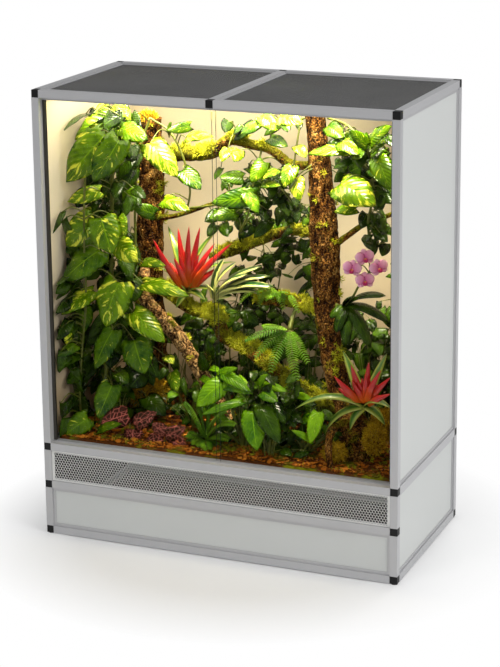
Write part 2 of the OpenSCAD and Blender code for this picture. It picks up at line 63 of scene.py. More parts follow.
lens = bpy.data.cameras.new("view")
lens.sensor_width = 36
lens.lens = lens_px * lens.sensor_width / photo_h
lens.shift_y = (axis_px[1] - photo_h / 2) / photo_h
camera = bpy.data.objects.new("view", lens)
turn = Matrix([[across[i], upward[i], -ahead[i]] for i in range(3)])
camera.matrix_world = Matrix.Translation(Vector(eye)) @ turn.to_4x4()
scene.collection.objects.link(camera)
scene.camera = camera


def seen(px, py, depth):
    """The point on the upright plane y = depth that the view shows at a pixel"""
    ray = ahead + across * (px - axis_px[0]) / lens_px + upward * (axis_px[1] - py) / lens_px
    return eye + ray * (depth - eye[1]) / ray[1]


# ---- Studio ------------------------------------------------------------------
# A pale floor under plain soft light: one broad lamp high on the right, weaker ones
# on the left and behind, and white beyond the floor for the camera and the glass.
class Wire:
    """A shader socket that takes part in Python arithmetic"""

    def __init__(self, socket):
        self.socket = socket

    def maths(self, operation, *others, first=None):
        """A Math node on this socket and others, or on a first value and this socket"""
        tree = self.socket.id_data
        step = tree.nodes.new("ShaderNodeMath")
        step.operation = operation
        values = (self, *others) if first is None else (first, self)
        for slot, value in zip(step.inputs, values):
            if isinstance(value, Wire):
                tree.links.new(value.socket, slot)
            else:
                slot.default_value = value
        return Wire(step.outputs[0])

    def __abs__(self):
        return self.maths("ABSOLUTE")

    def __add__(self, other):
        return self.maths("ADD", other)

    def __sub__(self, other):
        return self.maths("SUBTRACT", other)

    def __rsub__(self, other):
        return self.maths("SUBTRACT", first=other)

    def __mul__(self, other):
        return self.maths("MULTIPLY", other)

    def __gt__(self, other):
        return self.maths("GREATER_THAN", other)

    def __lt__(self, other):
        return self.maths("LESS_THAN", other)

    __radd__ = __add__
    __rmul__ = __mul__


class Finish:
    """A material or world under construction, around its first shader"""

    def __init__(self, name, world=False):
        self.data = bpy.data.worlds.new(name) if world else bpy.data.materials.new(name)
        self.data.use_nodes = True
        self.tree = self.data.node_tree
        self.shader = self.tree.nodes["Background" if world else "Principled BSDF"]
        self.output = self.tree.nodes["World Output" if world else "Material Output"]

    def feed(self, socket, value):
        """Puts a wire or a fixed value into a socket"""
        if isinstance(value, Wire):
            self.tree.links.new(value.socket, socket)
        else:
            socket.default_value = value

    def node(self, kind, settings=None, inputs=None, out=0):
        """Any node: its settings first, then the values or wires of its sockets"""
        made = self.tree.nodes.new(kind)
        for key, value in (settings or {}).items():
            if key == "stops":
                ramp = made.color_ramp.elements
                while len(ramp) < len(value):
                    ramp.new(0.5)
                for stop, (place, colour) in zip(ramp, value):
                    stop.position = place
                    stop.color = colour
            else:
                setattr(made, key, value)
        for key, value in (inputs or {}).items():
            self.feed(made.inputs[key], value)
        return Wire(made.outputs[out])

    def set(self, **sockets):
        """Feeds the shader's sockets, named with _ for a space"""
        for key, value in sockets.items():
            self.feed(self.shader.inputs[key.replace("_", " ")], value)

    def show(self, factor, other):
        """Shows another shader in place of the first where the factor is 1"""
        inputs = {0: factor, 1: Wire(self.shader.outputs[0]), 2: other}
        self.feed(self.output.inputs["Surface"], self.node("ShaderNodeMixShader", {}, inputs))

    def blend(self, factor, a, b, mode="MIX"):
        """Colour a turning into colour b"""
        settings = {"data_type": "RGBA", "blend_type": mode}
        return self.node("ShaderNodeMix", settings, {0: factor, 6: a, 7: b}, 2)

    def where(self):
        """The place on the object, in metres"""
        return self.node("ShaderNodeTexCoord", out="Object")

    def facing(self):
        """The way that the bare surface faces"""
        return self.node("ShaderNodeNewGeometry", out="True Normal")

    def stretched(self, place, factors):
        """A place with each of its axes scaled"""
        return self.node("ShaderNodeVectorMath", {"operation": "MULTIPLY"}, {0: place, 1: factors})

    def noise(self, scale, detail, rough, at=None, stretch=None):
        """A cloudy pattern round 0.5"""
        place = self.where() if at is None else at
        if stretch is not None:
            place = self.stretched(place, stretch)
        inputs = {"Vector": place, "Scale": scale, "Detail": detail, "Roughness": rough}
        return self.node("ShaderNodeTexNoise", {}, inputs)

    def point(self, x, y, z):
        """Three numbers as the place at which a texture is read"""
        return self.node("ShaderNodeCombineXYZ", {}, {0: x, 1: y, 2: z})

    def cells(self, place, scale):
        """The distance from the edges of a net of uneven cells"""
        inputs = {"Vector": place, "Scale": scale}
        return self.node("ShaderNodeTexVoronoi", {"feature": "DISTANCE_TO_EDGE"}, inputs)

    def ramp(self, factor, stops):
        """The colour at a factor, between stops of place and colour"""
        return self.node("ShaderNodeValToRGB", {"stops": stops}, {"Fac": factor})

    def part(self, vector, axis):
        """One of the three numbers of a vector"""
        return self.node("ShaderNodeSeparateXYZ", {}, {0: vector}, axis)

    def marks(self):
        """The three numbers that each point of a mesh carries for its material"""
        carried = self.node("ShaderNodeAttribute", {"attribute_name": "mark"}, out="Vector")
        return [self.part(carried, axis) for axis in range(3)]

    def bump(self, height, distance, strength):
        """Fine relief, for the shader's normal"""
        inputs = {"Height": height, "Distance": distance, "Strength": strength}
        return self.node("ShaderNodeBump", {}, inputs)

    def coat_all(self, names):
        """Gives CAD nodes this finish"""
        for name in names:
            nodes[name].data.materials.clear()
            nodes[name].data.materials.append(self.data)


def rgb(*screen):
    """A colour from the 0 to 255 values that a screen shows"""
    return (*(c / 255 / 12.92 if c < 11 else ((c / 255 + 0.055) / 1.055) ** 2.4 for c in screen), 1)


# Direct sight of the world, also through the glass, is white
white = (1, 1, 1, 1)
world_light = 0.33
sky = Finish("studio", world=True)
sky.set(Color=white, Strength=world_light)
seen_ray = sky.node("ShaderNodeLightPath", out="Is Camera Ray")
glass_ray = sky.node("ShaderNodeLightPath", out="Is Transmission Ray")
white_world = sky.node("ShaderNodeBackground", {}, {"Color": white, "Strength": 1.0})
sky.show(seen_ray.maths("MAXIMUM", glass_ray), white_world)
scene.world = sky.data

# The floor keeps the shadow near the cabinet and turns to plain white further out
floor_reach, fade_from, fade_to = 14.0, 0.47, 0.76
ground = Finish("studio_floor")
ground.set(Base_Color=rgb(250, 250, 250), Roughness=0.9)
spot = ground.node("ShaderNodeVectorMath", {"operation": "LENGTH"}, {0: ground.where()}, "Value")
fade = ground.node("ShaderNodeMapRange", {}, {0: spot, 1: fade_from, 2: fade_to, 3: 0.0, 4: 1.0})
straight = ground.node("ShaderNodeLightPath", out="Is Camera Ray")
ground.show(fade * straight, ground.node("ShaderNodeEmission", {}, {"Color": white, "Strength": 1.0}))
sheet = bpy.data.meshes.new("studio_floor")
sheet.from_pydata([(x, y, 0) for x, y in ((-1, -1), (1, -1), (1, 1), (-1, 1))], [], [(0, 1, 2, 3)])
sheet.transform(Matrix.Scale(floor_reach, 4))
sheet.materials.append(ground.data)
studio_floor = bpy.data.objects.new("studio_floor", sheet)
scene.collection.objects.link(studio_floor)


def lamp(name, place, target, width, height, watts, colour=(1, 1, 1), spread=180, gloss=False):
    """A rectangular soft lamp that faces its target"""
    light = bpy.data.lights.new(name, "AREA")
    light.shape = "RECTANGLE"
    light.size, light.size_y = width, height
    light.energy = watts
    light.color = colour
    light.spread = math.radians(spread)
    holder = bpy.data.objects.new(name, light)
    holder.location = place
    holder.rotation_euler = (Vector(target) - Vector(place)).to_track_quat("-Z", "Y").to_euler()
    holder.visible_camera = False
    holder.visible_glossy = gloss
    scene.collection.objects.link(holder)


lamp("key_lamp", (4.0, -1.5, 3.4), (0, 0, 0.6), 2.4, 2.4, 116)
lamp("fill_lamp", (-1.6, -3.6, 3.0), (0, 0, 0.6), 1.5, 1.5, 33)
lamp("back_lamp", (0.5, 3.6, 3.0), (0, 0, 0.7), 2.6, 2.0, 72)

# Two warm lamps close under the gauze light the planting, as a lamp hood on it does:
# one all round, and one in a narrow beam that leans towards the back wall
hood_z = 1.166
lamp("planting_lamp", (-0.12, -0.02, hood_z), (-0.12, -0.02, 0), 0.7, 0.36, 4.0,
     (1.0, 0.89, 0.64), gloss=True)
lamp("planting_beam", (0, 0.02, hood_z), (0, 0.17, 0), 0.86, 0.24, 7.6,
     (1.0, 0.89, 0.66), spread=40, gloss=True)


# ---- Square tubes ------------------------------------------------------------
# Posts and rails: 20 mm square aluminium tube with thin fins along it, extruded,
# satin anodised, and sawn to length between the moulded connectors.
def extrusion(name, axis):
    """Satin anodised metal with fine die lines along one row axis"""
    metal = Finish(name)
    drawn_out = [0.02 if k == axis else 1.0 for k in range(3)]
    die = metal.noise(900, 3, 0.6, stretch=drawn_out)
    cloud = metal.noise(6, 3, 0.5)
    tone = metal.blend(die * 0.35 + cloud * 0.3 + 0.1, rgb(184, 184, 186), rgb(204, 204, 206))
    metal.set(Base_Color=tone, Metallic=0.3, Roughness=die * 0.14 + 0.34)
    metal.set(Specular_IOR_Level=0.5, Normal=metal.bump(die, 0.00004, 0.6))
    return metal


x_rails = ["bottom_rail_front", "bottom_rail_rear", "sill_rail", "deck_rail_front", "deck_rail_rear"]
x_rails += ["top_rail_front", "top_rail_rear"]
y_rails = [f"{tier}_rail_{side}" for tier in ("bottom", "deck", "top") for side in ("left", "right")]
posts = [name for name in nodes if name.startswith("post_")]
extrusion("anodised_across", 0).coat_all(x_rails)
extrusion("anodised_deep", 1).coat_all(y_rails + ["roof_cross_rail"])
extrusion("anodised_upright", 2).coat_all(posts)


# ---- Connectors --------------------------------------------------------------
# Corner, tee and four-way blocks: glass-filled nylon, injection moulded black,
# their ribbed tenons pushed into the tube ends, so only the cubes show.
nylon = Finish("black_nylon")
spark = nylon.noise(1400, 2, 0.6)
worn = nylon.noise(40, 4, 0.6)
nylon.set(Base_Color=nylon.blend(worn, rgb(10, 10, 11), rgb(26, 26, 28)))
nylon.set(Specular_IOR_Level=0.3, Roughness=worn * 0.25 + 0.34, Normal=nylon.bump(spark, 0.00008, 0.7))
nylon.coat_all(["bottom_corners", "top_corners", "deck_connectors", "sill_tees", "roof_tees"])


# ---- Wall and floor panels ---------------------------------------------------
# 4 mm composite board, light grey outside and cream inside, cut square and
# slid into the slots between the fins; the floors lie on the rails' shelf fins.
board = Finish("composite_board")
# Heights: below the deck line the lining is painted black, as painted shade in the closed base; above it
# painted shade darkens the cream towards the bottom and fades upwards
deck_line, shade_foot, shade_top = 0.25, 0.4, 1.15
# Outer faces look away from the cabinet's middle, so this sum is well above 0 on them
sides = board.part(board.where(), 0) * board.part(board.facing(), 0)
front_and_back = board.part(board.where(), 1) * board.part(board.facing(), 1)
inner = (sides + front_and_back) < 0.001
height = board.part(board.where(), 2)
damp = board.noise(5, 5, 0.6)
shade_range = {0: height + damp * 0.5, 1: shade_foot, 2: shade_top, 3: 1.0, 4: 0.0}
low_shade = board.node("ShaderNodeMapRange", {}, shade_range)
cream = board.blend(damp * 0.5, rgb(240, 230, 206), rgb(228, 210, 174))
# Painted shade: the cream turns brown towards the bottom of the walls, where they lie in shade
cream = board.blend(low_shade * 0.85, cream, rgb(146, 114, 62))
# Painted shade: inside the closed base behind the vent strip, below the deck line, the lining is near black
lining = board.blend(height > deck_line, rgb(16, 16, 15), cream)
orange_peel = board.noise(700, 2, 0.5)
grey = board.blend(board.noise(3, 3, 0.5), rgb(204, 207, 205), rgb(212, 214, 212))
board.set(Base_Color=board.blend(inner, grey, lining))
board.set(Roughness=orange_peel * 0.12 + 0.4, Normal=board.bump(orange_peel, 0.00005, 0.5))
board.coat_all([name for name in nodes if "panel" in name or name.endswith("_floor")])


# ---- Ventilation strip -------------------------------------------------------
# A steel sheet punched with staggered holes and painted silver grey, which lies
# between the sill and deck rails against the single fins behind it.
class Heap:
    """Points, faces and three numbers for each point, gathered into one mesh"""

    def __init__(self):
        self.points, self.faces, self.marks, self.count = [], [], [], 0

    def add(self, points, faces, marks=None):
        """Takes up more faces, counted from their own points"""
        points = np.asarray(points, float)
        self.points.append(points)
        self.faces += [[index + self.count for index in face] for face in faces]
        self.marks.append(np.zeros_like(points) if marks is None else np.asarray(marks, float))
        self.count += len(points)

    def box(self, low, high):
        """A rectangular bar between two corners"""
        ends = [(low[0], high[0]), (low[1], high[1]), (low[2], high[2])]
        corners = [(x, y, z) for x in ends[0] for y in ends[1] for z in ends[2]]
        self.add(corners, [(0, 1, 3, 2), (4, 6, 7, 5), (0, 4, 5, 1),
                           (2, 3, 7, 6), (0, 2, 6, 4), (1, 5, 7, 3)])

    def build(self, name, finish, slot, replaces=(), smooth=True):
        """One finished piece that rides on the cabinet and may stand for CAD nodes"""
        mesh = bpy.data.meshes.new(name)
        mesh.from_pydata(np.concatenate(self.points).tolist(), [], self.faces)
        mark = mesh.attributes.new("mark", "FLOAT_VECTOR", "POINT")
        mark.data.foreach_set("vector", np.concatenate(self.marks).ravel())
        mesh.polygons.foreach_set("use_smooth", [smooth] * len(mesh.polygons))
        mesh.materials.append(finish.data)
        piece = bpy.data.objects.new(name, mesh)
        scene.collection.objects.link(piece)
        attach(piece, "cabinet")
        if replaces:
            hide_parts(*replaces)


vent_low, vent_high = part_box("vent_strip")
hole_cols, hole_rows, hole_radius = 121, 13, 0.00378
rim_width, rim_proud = 0.0035, 0.0002
half_pitch = (vent_high[0] - vent_low[0]) / (2 * hole_cols + 1)
third_row = (vent_high[2] - vent_low[2]) / hole_rows / 3
hexagon = ((0, 2), (1, 1), (1, -1), (0, -2), (-1, -1), (-1, 1))


def on_strip(i, j):
    """A point counted in half pitches across and thirds of a row up, kept on the sheet"""
    up = min(max((j + 1.5) * third_row, 0), vent_high[2] - vent_low[2])
    return Vector((vent_low[0] + (i + 1) * half_pitch, vent_low[1], vent_low[2] + up))


punched = bmesh.new()
corners = {}
for row in range(hole_rows):
    for col in range(hole_cols):
        i, j = 2 * col + row % 2, 3 * row
        ring = [(i + across_by, j + up_by) for across_by, up_by in hexagon]
        hole = []
        for k, corner in enumerate(ring):
            if corner not in corners:
                corners[corner] = punched.verts.new(on_strip(*corner))
            angle = math.radians(90 - 60 * k)
            edge = Vector((math.cos(angle), 0, math.sin(angle))) * hole_radius
            hole.append(punched.verts.new(on_strip(i, j) + edge))
        for k in range(6):
            after = (k + 1) % 6
            punched.faces.new((corners[ring[k]], corners[ring[after]], hole[after], hole[k]))
grown = bmesh.ops.extrude_face_region(punched, geom=list(punched.faces))
for vert in grown["geom"]:
    if isinstance(vert, bmesh.types.BMVert):
        vert.co.y = vent_high[1]
bmesh.ops.recalc_face_normals(punched, faces=list(punched.faces))
punched.verts.index_update()
strip = Heap()
strip.add([tuple(vert.co) for vert in punched.verts],
          [[vert.index for vert in face.verts] for face in punched.faces])
punched.free()
rim_y = (vent_low[1] - rim_proud, vent_high[1])
for z0, z1 in ((vent_low[2], vent_low[2] + rim_width), (vent_high[2] - rim_width, vent_high[2])):
    strip.box((vent_low[0], rim_y[0], z0), (vent_high[0], rim_y[1], z1))
for x0, x1 in ((vent_low[0], vent_low[0] + 2 * rim_width), (vent_high[0] - 2 * rim_width, vent_high[0])):
    strip.box((x0, rim_y[0], vent_low[2] + rim_width), (x1, rim_y[1], vent_high[2] - rim_width))
vent_paint = Finish("vent_paint")
dust = vent_paint.noise(35, 5, 0.6)
fleck = vent_paint.noise(1100, 2, 0.5)
vent_paint.set(Base_Color=vent_paint.blend(dust, rgb(224, 224, 220), rgb(244, 244, 242)), Metallic=0.2)
vent_paint.set(Roughness=fleck * 0.2 + 0.3, Normal=vent_paint.bump(fleck, 0.00005, 0.5))
strip.build("vent_strip_sheet", vent_paint, "vent_metal", ["vent_strip"], smooth=False)


# ---- Roof gauze --------------------------------------------------------------
# Fine black steel cloth, its square wires crossing in two layers, clamped in a thin
# flat edge frame that slides between the fins of the roof rails.
wire_pitch, wire_size, gauze_edge = 0.0016, 0.00052, 0.0095
gauze_paint = Finish("gauze_paint")
haze = gauze_paint.noise(9, 5, 0.65)
grime = gauze_paint.noise(240, 3, 0.6)
gauze_paint.set(Base_Color=gauze_paint.blend(haze, rgb(92, 92, 92), rgb(118, 118, 118)))
gauze_paint.set(Roughness=grime * 0.3 + 0.45, Normal=gauze_paint.bump(grime, 0.0001, 0.4))
for side in ("left", "right"):
    low, high = (np.array(end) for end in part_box(f"roof_gauze_{side}"))
    gauze = Heap()
    inner_low, inner_high = low + gauze_edge, high - gauze_edge
    middle = (low[2] + high[2]) / 2
    for y0, y1 in ((low[1], inner_low[1]), (inner_high[1], high[1])):
        gauze.box((low[0], y0, low[2]), (high[0], y1, high[2]))
    for x0, x1 in ((low[0], inner_low[0]), (inner_high[0], high[0])):
        gauze.box((x0, inner_low[1], low[2]), (x1, inner_high[1], high[2]))
    for axis, level in ((0, middle), (1, middle + wire_size * 0.9)):
        for place in np.arange(inner_low[axis], inner_high[axis], wire_pitch):
            start = [inner_low[0], inner_low[1], level]
            stop = [inner_high[0], inner_high[1], level + wire_size]
            start[axis], stop[axis] = place, place + wire_size
            gauze.box(start, stop)
    gauze.build(f"gauze_cloth_{side}", gauze_paint, "roof_gauze", [f"roof_gauze_{side}"], smooth=False)


# ---- Door tracks and edge channels -------------------------------------------
# Two-channel aluminium tracks at the doors' foot and head, cut to the opening, and
# black upright U channels pushed on to the posts, which take the closed doors' edges.
extrusion("anodised_track", 0).coat_all(["door_track_bottom", "door_track_top"])
gasket = Finish("channel_plastic")
scuff = gasket.noise(70, 4, 0.6, stretch=(1, 1, 0.1))
gasket.set(Base_Color=gasket.blend(scuff, rgb(44, 41, 36), rgb(66, 62, 54)))
gasket.set(Roughness=scuff * 0.3 + 0.3, Normal=gasket.bump(scuff, 0.0001, 0.5))
gasket.coat_all(["door_channel_left", "door_channel_right"])


# ---- Glass doors -------------------------------------------------------------
# Two sheets of 4 mm float glass with ground edges, standing in the tracks and
# overlapping in the middle; they slide past each other.
float_glass = Finish("float_glass")
ground_edge = abs(float_glass.part(float_glass.facing(), 1)) < 0.5
sheen = float_glass.node("ShaderNodeFresnel", {}, {"IOR": 1.45})
smear = float_glass.noise(7, 5, 0.6, stretch=(1, 1, 0.4))
float_glass.set(Base_Color=float_glass.blend(ground_edge, rgb(20, 26, 22), rgb(44, 56, 48)))
float_glass.set(Alpha=ground_edge * 0.95 + sheen * 0.08 + smear * 0.006, Roughness=smear * 0.05 + 0.02)
float_glass.coat_all(["glass_door_left", "glass_door_right"])


# ---- Substrate ---------------------------------------------------------------
# A bed of orange-brown bark chips over soil, deeper at the back wall and strewn by
# hand, which lies on the vivarium floor behind the door track.
scatter = np.random.default_rng(11)
bed_low, bed_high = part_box("substrate_bed")
bed_front, bed_back = 0.012, 0.030
bed_cols, bed_rows, bed_rim = 161, 77, 0.002


def bed_top(x, y):
    """Height of the soil, which rises to the back in low swells"""
    v = (y - bed_low[1]) / (bed_high[1] - bed_low[1])
    swell = 0.003 * v * math.sin(math.radians(540 * v)) + 0.0035 * noise.noise((x * 11, y * 11, 3))
    return bed_low[2] + bed_front + (bed_back - bed_front) * v + swell


soil = Heap()
surface = []
for x in np.linspace(bed_low[0], bed_high[0], bed_cols):
    for y in np.linspace(bed_low[1], bed_high[1], bed_rows):
        inside_x = bed_low[0] + bed_rim < x < bed_high[0] - bed_rim
        inside_y = bed_low[1] + bed_rim < y < bed_high[1] - bed_rim
        surface.append((x, y, bed_top(x, y) if inside_x and inside_y else bed_low[2]))
firsts = [i * bed_rows + j for i in range(bed_cols - 1) for j in range(bed_rows - 1)]
soil.add(surface, [(k, k + bed_rows, k + bed_rows + 1, k + 1) for k in firsts])
earth = Finish("soil")
crumb = earth.noise(420, 5, 0.7)
patch = earth.noise(16, 3, 0.6)
mossy = (patch - 0.52) * 9
earth_tone = earth.blend(crumb, rgb(38, 20, 8), rgb(112, 64, 26))
earth.set(Base_Color=earth.blend(mossy, earth_tone, earth.blend(crumb, rgb(66, 72, 8), rgb(150, 152, 24))))
earth.set(Roughness=0.95, Specular_IOR_Level=0.12, Normal=earth.bump(crumb, 0.003, 1.0))
soil.build("soil", earth, "bark_chips", ["substrate_bed"])

chips = Heap()
chip_count, chip_margin = 3600, 0.012
chip_depth = bed_high[1] - bed_low[1] - 2 * chip_margin
for n in range(chip_count):
    x = scatter.uniform(bed_low[0] + chip_margin, bed_high[0] - chip_margin)
    y = bed_low[1] + chip_margin + chip_depth * scatter.uniform() ** 1.35
    size = scatter.uniform(0.004, 0.012) * (1.5 if n % 9 == 0 else 1)
    sides = scatter.integers(5, 8)
    turns = np.sort(scatter.uniform(0, 2 * math.pi, sides))
    radii = size * scatter.uniform(0.65, 1.1, sides)
    flat = np.stack([np.cos(turns) * radii, np.sin(turns) * radii * 0.62, np.zeros(sides)], 1)
    thick = scatter.uniform(0.0012, 0.003)
    upper = flat * (0.86, 0.86, 1) + (0, 0, thick) + scatter.normal(0, 0.0003, (sides, 3))
    lean = Matrix.Rotation(scatter.uniform(0, 6.3), 3, "Z") @ Matrix.Rotation(scatter.normal(0, 0.32), 3, "X")
    body = np.concatenate([flat, upper]) @ np.array(lean).T
    body += (x, y, bed_top(x, y) + 0.0012 - body[:, 2].min() * 0.6)
    ring = list(range(sides))
    faces = [ring[::-1], [sides + k for k in ring]]
    faces += [[k, (k + 1) % sides, sides + (k + 1) % sides, sides + k] for k in ring]
    chips.add(body, faces, np.tile((scatter.uniform(), 0, 0), (2 * sides, 1)))
bark_chip = Finish("bark_chip")
shade = bark_chip.marks()[0]
fibre = bark_chip.noise(500, 4, 0.7)
stops = [(0.0, rgb(44, 22, 4)), (0.35, rgb(112, 60, 12)), (0.7, rgb(172, 98, 24)), (1.0, rgb(214, 144, 52))]
chip_tone = bark_chip.ramp(shade * 0.8 + fibre * 0.5 - 0.15, stops)
greened = (bark_chip.noise(16, 3, 0.6) - 0.56) * 8
bark_chip.set(Base_Color=bark_chip.blend(greened, chip_tone, rgb(96, 92, 20)), Roughness=0.85)
bark_chip.set(Specular_IOR_Level=0.15, Normal=bark_chip.bump(fibre, 0.0012, 0.9))
chips.build("bark_chips", bark_chip, "bark_chips", smooth=False)


# ---- Wood --------------------------------------------------------------------
# Two upright cork-barked trunks, branches and logs, sawn to length, wedged between
# floor and walls and screwed together where they cross; moss covers what lies damp.
ring_spacing = 0.005


def smooth_route(stations, spacing):
    """Evenly spaced points of a curve through stations of x, y, z and radius in millimetres"""
    stations = np.array(stations, float) / 1000
    padded = np.vstack([2 * stations[0] - stations[1], stations, 2 * stations[-1] - stations[-2]])
    length = np.linalg.norm(np.diff(stations[:, :3], axis=0), axis=1).sum()
    t = np.linspace(0, len(stations) - 1 - 1e-6, int(length / spacing) + 2)
    i, f = t.astype(int), (t - t.astype(int))[:, None]
    a, b, c, d = padded[i], padded[i + 1], padded[i + 2], padded[i + 3]
    return 0.5 * (2 * b + (c - a) * f + (2 * a - 5 * b + 4 * c - d) * f**2 + (3 * b - a - 3 * c + d) * f**3)


def unit_rows(rows):
    """Every row scaled to a length of 1"""
    return rows / np.linalg.norm(rows, axis=-1, keepdims=True)


def tube_grid(line, sides):
    """Rings of points round a line of x, y, z, radius, with the outward direction of each"""
    along = unit_rows(np.gradient(line[:, :3], axis=0))
    across_u = unit_rows(np.cross((0.05, 1.0, 0.1), along))
    across_v = np.cross(along, across_u)
    turns = (2 * math.pi * np.arange(sides) / sides)[None, :, None]
    out = np.cos(turns) * across_u[:, None] + np.sin(turns) * across_v[:, None]
    return line[:, None, :3] + out * line[:, None, 3:4], out


def tube_faces(rings, sides):
    """Four-sided faces between the rings, and a cap on each end"""
    faces = []
    for k in range((rings - 1) * sides):
        after = k + 1 if (k + 1) % sides else k + 1 - sides
        faces.append([k, after, after + sides, k + sides])
    return faces + [list(range(sides))[::-1], [(rings - 1) * sides + k for k in range(sides)]]


def bark_relief(point, cork):
    """0 in a crack of the bark to 1 on its plates"""
    bumpy = noise.fractal(Vector((point.x * 38, point.y * 38, point.z * 20)), 0.7, 2.1, 3)
    crack = abs(noise.noise(Vector((point.x * 66, point.y * 66, point.z * 22 + 9))))
    plates = 1 - math.exp(-(crack / 0.07) ** 2)
    return 0.5 + 0.32 * bumpy + cork * (plates - 0.75)


def bough(heap, stations, sides, cork=0.45, depth=0.16):
    """A knobbly length of wood; gives its skin and outward directions, for moss"""
    line = smooth_route(stations, ring_spacing)
    skin, out = tube_grid(line, sides)
    relief = np.array([[bark_relief(Vector(p), cork) for p in ring] for ring in skin])
    skin = skin + out * (line[:, 3, None] * depth * (relief - 0.62) * 2)[..., None]
    marks = np.stack([relief, out[..., 2], np.zeros_like(relief)], -1)
    heap.add(skin.reshape(-1, 3), tube_faces(len(line), sides), marks.reshape(-1, 3))
    return skin, out


def bark(name, dark, mid, light, moss, moss_from, crackle=92):
    """Bark from its dark cracks to its light plates, partly its own colour and partly painted shade in the
    cracks; mossier as moss_from falls
    """
    wood = Finish(name)
    relief, upness, _ = wood.marks()
    fine, coarse, green = wood.noise(240, 6, 0.7), wood.noise(38, 4, 0.6), wood.noise(15, 4, 0.65)
    wander = wood.node("ShaderNodeTexNoise", {}, {"Vector": wood.where(), "Scale": 60.0}, "Color")
    place = wood.stretched(wood.blend(0.02, wood.where(), wander, "LINEAR_LIGHT"), (1, 1, 0.3))
    edge = wood.cells(place, crackle)
    crack = (0.14 - edge) * 8
    stops = [(0.0, dark), (0.34, mid), (0.66, light), (1.0, rgb(222, 186, 110))]
    # Partly the bark's own colour and partly painted shade: the tone follows the wood's relief, darker in its
    # hollows
    tone = wood.ramp(relief * 0.8 + fine * 2.6 + coarse * 0.8 - 1.75, stops)
    # Partly the bark's own colour and partly painted shade: the cells' edges are darkened as cracks
    tone = wood.blend(crack.maths("MINIMUM", 0.92), tone, dark)
    pile = wood.blend(fine * 2.4 - 0.8, *moss)
    cover = (green + upness * 0.13 + fine * 0.3 - moss_from) * 9
    wood.set(Base_Color=wood.blend(cover, tone, pile), Roughness=0.92, Specular_IOR_Level=0.12)
    wood.set(Normal=wood.bump(fine + coarse + edge * 2, 0.005, 0.9))
    return wood


cork = bark("cork_bark", rgb(14, 6, 2), rgb(98, 58, 15), rgb(162, 112, 46),
            (rgb(52, 54, 4), rgb(160, 148, 20)), 0.76)
damp_bark = bark("damp_bark", rgb(20, 10, 2), rgb(116, 68, 22), rgb(180, 122, 50),
                 (rgb(40, 44, 3), rgb(140, 136, 18)), 0.56)
scaly_bark = bark("scaly_bark", rgb(30, 14, 5), rgb(150, 108, 58), rgb(206, 166, 108),
                  (rgb(60, 62, 8), rgb(150, 140, 30)), 0.84, crackle=60)

# The stations of each length of wood: x, y, z and radius in millimetres
bed_mm = bed_low[2] * 1000
left_wood, right_wood, branch_wood = Heap(), Heap(), Heap()
moss_wood, scaly_wood, twig_wood = Heap(), Heap(), Heap()
left_skin = bough(left_wood, [
    [-345, 130, bed_mm + 6, 44], [-350, 130, 420, 41], [-352, 125, 600, 39], [-345, 122, 760, 37],
    [-336, 120, 920, 35], [-338, 120, 1072, 31]], 44)
right_skin = bough(right_wood, [
    [330, -80, bed_mm + 6, 54], [330, -80, bed_mm + 30, 52], [316, -68, 315, 48], [286, -42, 370, 33],
    [246, -10, 440, 29], [215, 20, 520, 30], [200, 35, 640, 35], [194, 40, 770, 39], [182, 45, 920, 33],
    [170, 50, 1060, 27], [160, 55, 1157, 25]], 44)
bough(right_wood, [
    [300, -90, 350, 16], [278, -140, 345, 11], [284, -180, 300, 9], [300, -195, bed_mm + 6, 8]], 16)
branch_skin = bough(branch_wood, [
    [-322, 112, 955, 21], [-258, 98, 982, 21], [-150, 95, 995, 19], [-92, 95, 1034, 16],
    [-35, 95, 1024, 14], [22, 92, 1016, 13], [80, 84, 984, 12], [130, 66, 984, 12],
    [165, 50, 1000, 11]], 26)
moss_skin = bough(moss_wood, [
    [-320, 112, 615, 21], [-205, 72, 570, 20], [-125, 35, 566, 19], [-88, 30, 512, 19],
    [-22, 20, 490, 19], [34, 0, 467, 20], [95, -20, 441, 19], [155, -30, 403, 18], [262, -40, 372, 17]],
    28)
scaly_skin = bough(scaly_wood, [
    [-350, 95, 655, 15], [-300, -25, 625, 16], [-262, -45, 590, 18], [-209, -50, 544, 20],
    [-160, -52, 484, 19], [-110, -60, 418, 19], [-50, -70, 330, 20], [2, -80, bed_mm + 24, 19]], 30,
    cork=0.7, depth=0.2)
bough(twig_wood, [
    [196, 38, 740, 11], [221, 50, 784, 9], [262, 52, 819, 8], [305, 50, 849, 7], [367, 50, 875, 6],
    [425, 60, 900, 5]], 14)
bough(twig_wood, [
    [-318, 110, 800, 9], [-262, 100, 812, 7], [-190, 95, 838, 6], [-140, 90, 860, 4]], 14)
rear_skin = bough(twig_wood, [
    [-180, 160, 690, 14], [-100, 155, 722, 16], [-30, 150, 755, 16], [55, 150, 785, 13],
    [190, 60, 800, 11]], 22)
log_skin = bough(twig_wood, [
    [-10, 70, 610, 14], [20, 62, 618, 18], [100, 55, 618, 18], [195, 40, 600, 13]], 24)
left_wood.build("cork_trunk_left", cork, "bark_wood", ["trunk_left"])
right_wood.build("cork_trunk_right", cork, "bark_wood", ["trunk_right"])
branch_wood.build("branch_upper", damp_bark, "bark_wood", ["upper_branch"])
moss_wood.build("branch_mossy", damp_bark, "mossy_wood", ["mossy_branch"])
scaly_wood.build("branch_scaly", scaly_bark, "bark_wood", ["scaly_branch"])
twig_wood.build("twigs_and_logs", damp_bark, "bark_wood", ["twigs"])


# ---- Leaves ------------------------------------------------------------------
# What all the plants share: thin closed leaves with a bent midrib and cupped sides,
# round stalks, and the waxy shaders that colour a leaf from its own coordinates.
grower = np.random.default_rng(5)
# What grows stays between these two corners, inside the walls, the doors and the roof
space_low = np.array([-0.470, -0.212, bed_low[2] + 0.006])
space_high = np.array([0.470, 0.236, 1.168])
leaf_thick = 0.0007
wall_gap, nearest_mm, step_mm = 0.004, -200, 6


def within(points):
    """Points kept in the space for what grows"""
    return np.clip(points, space_low, space_high)


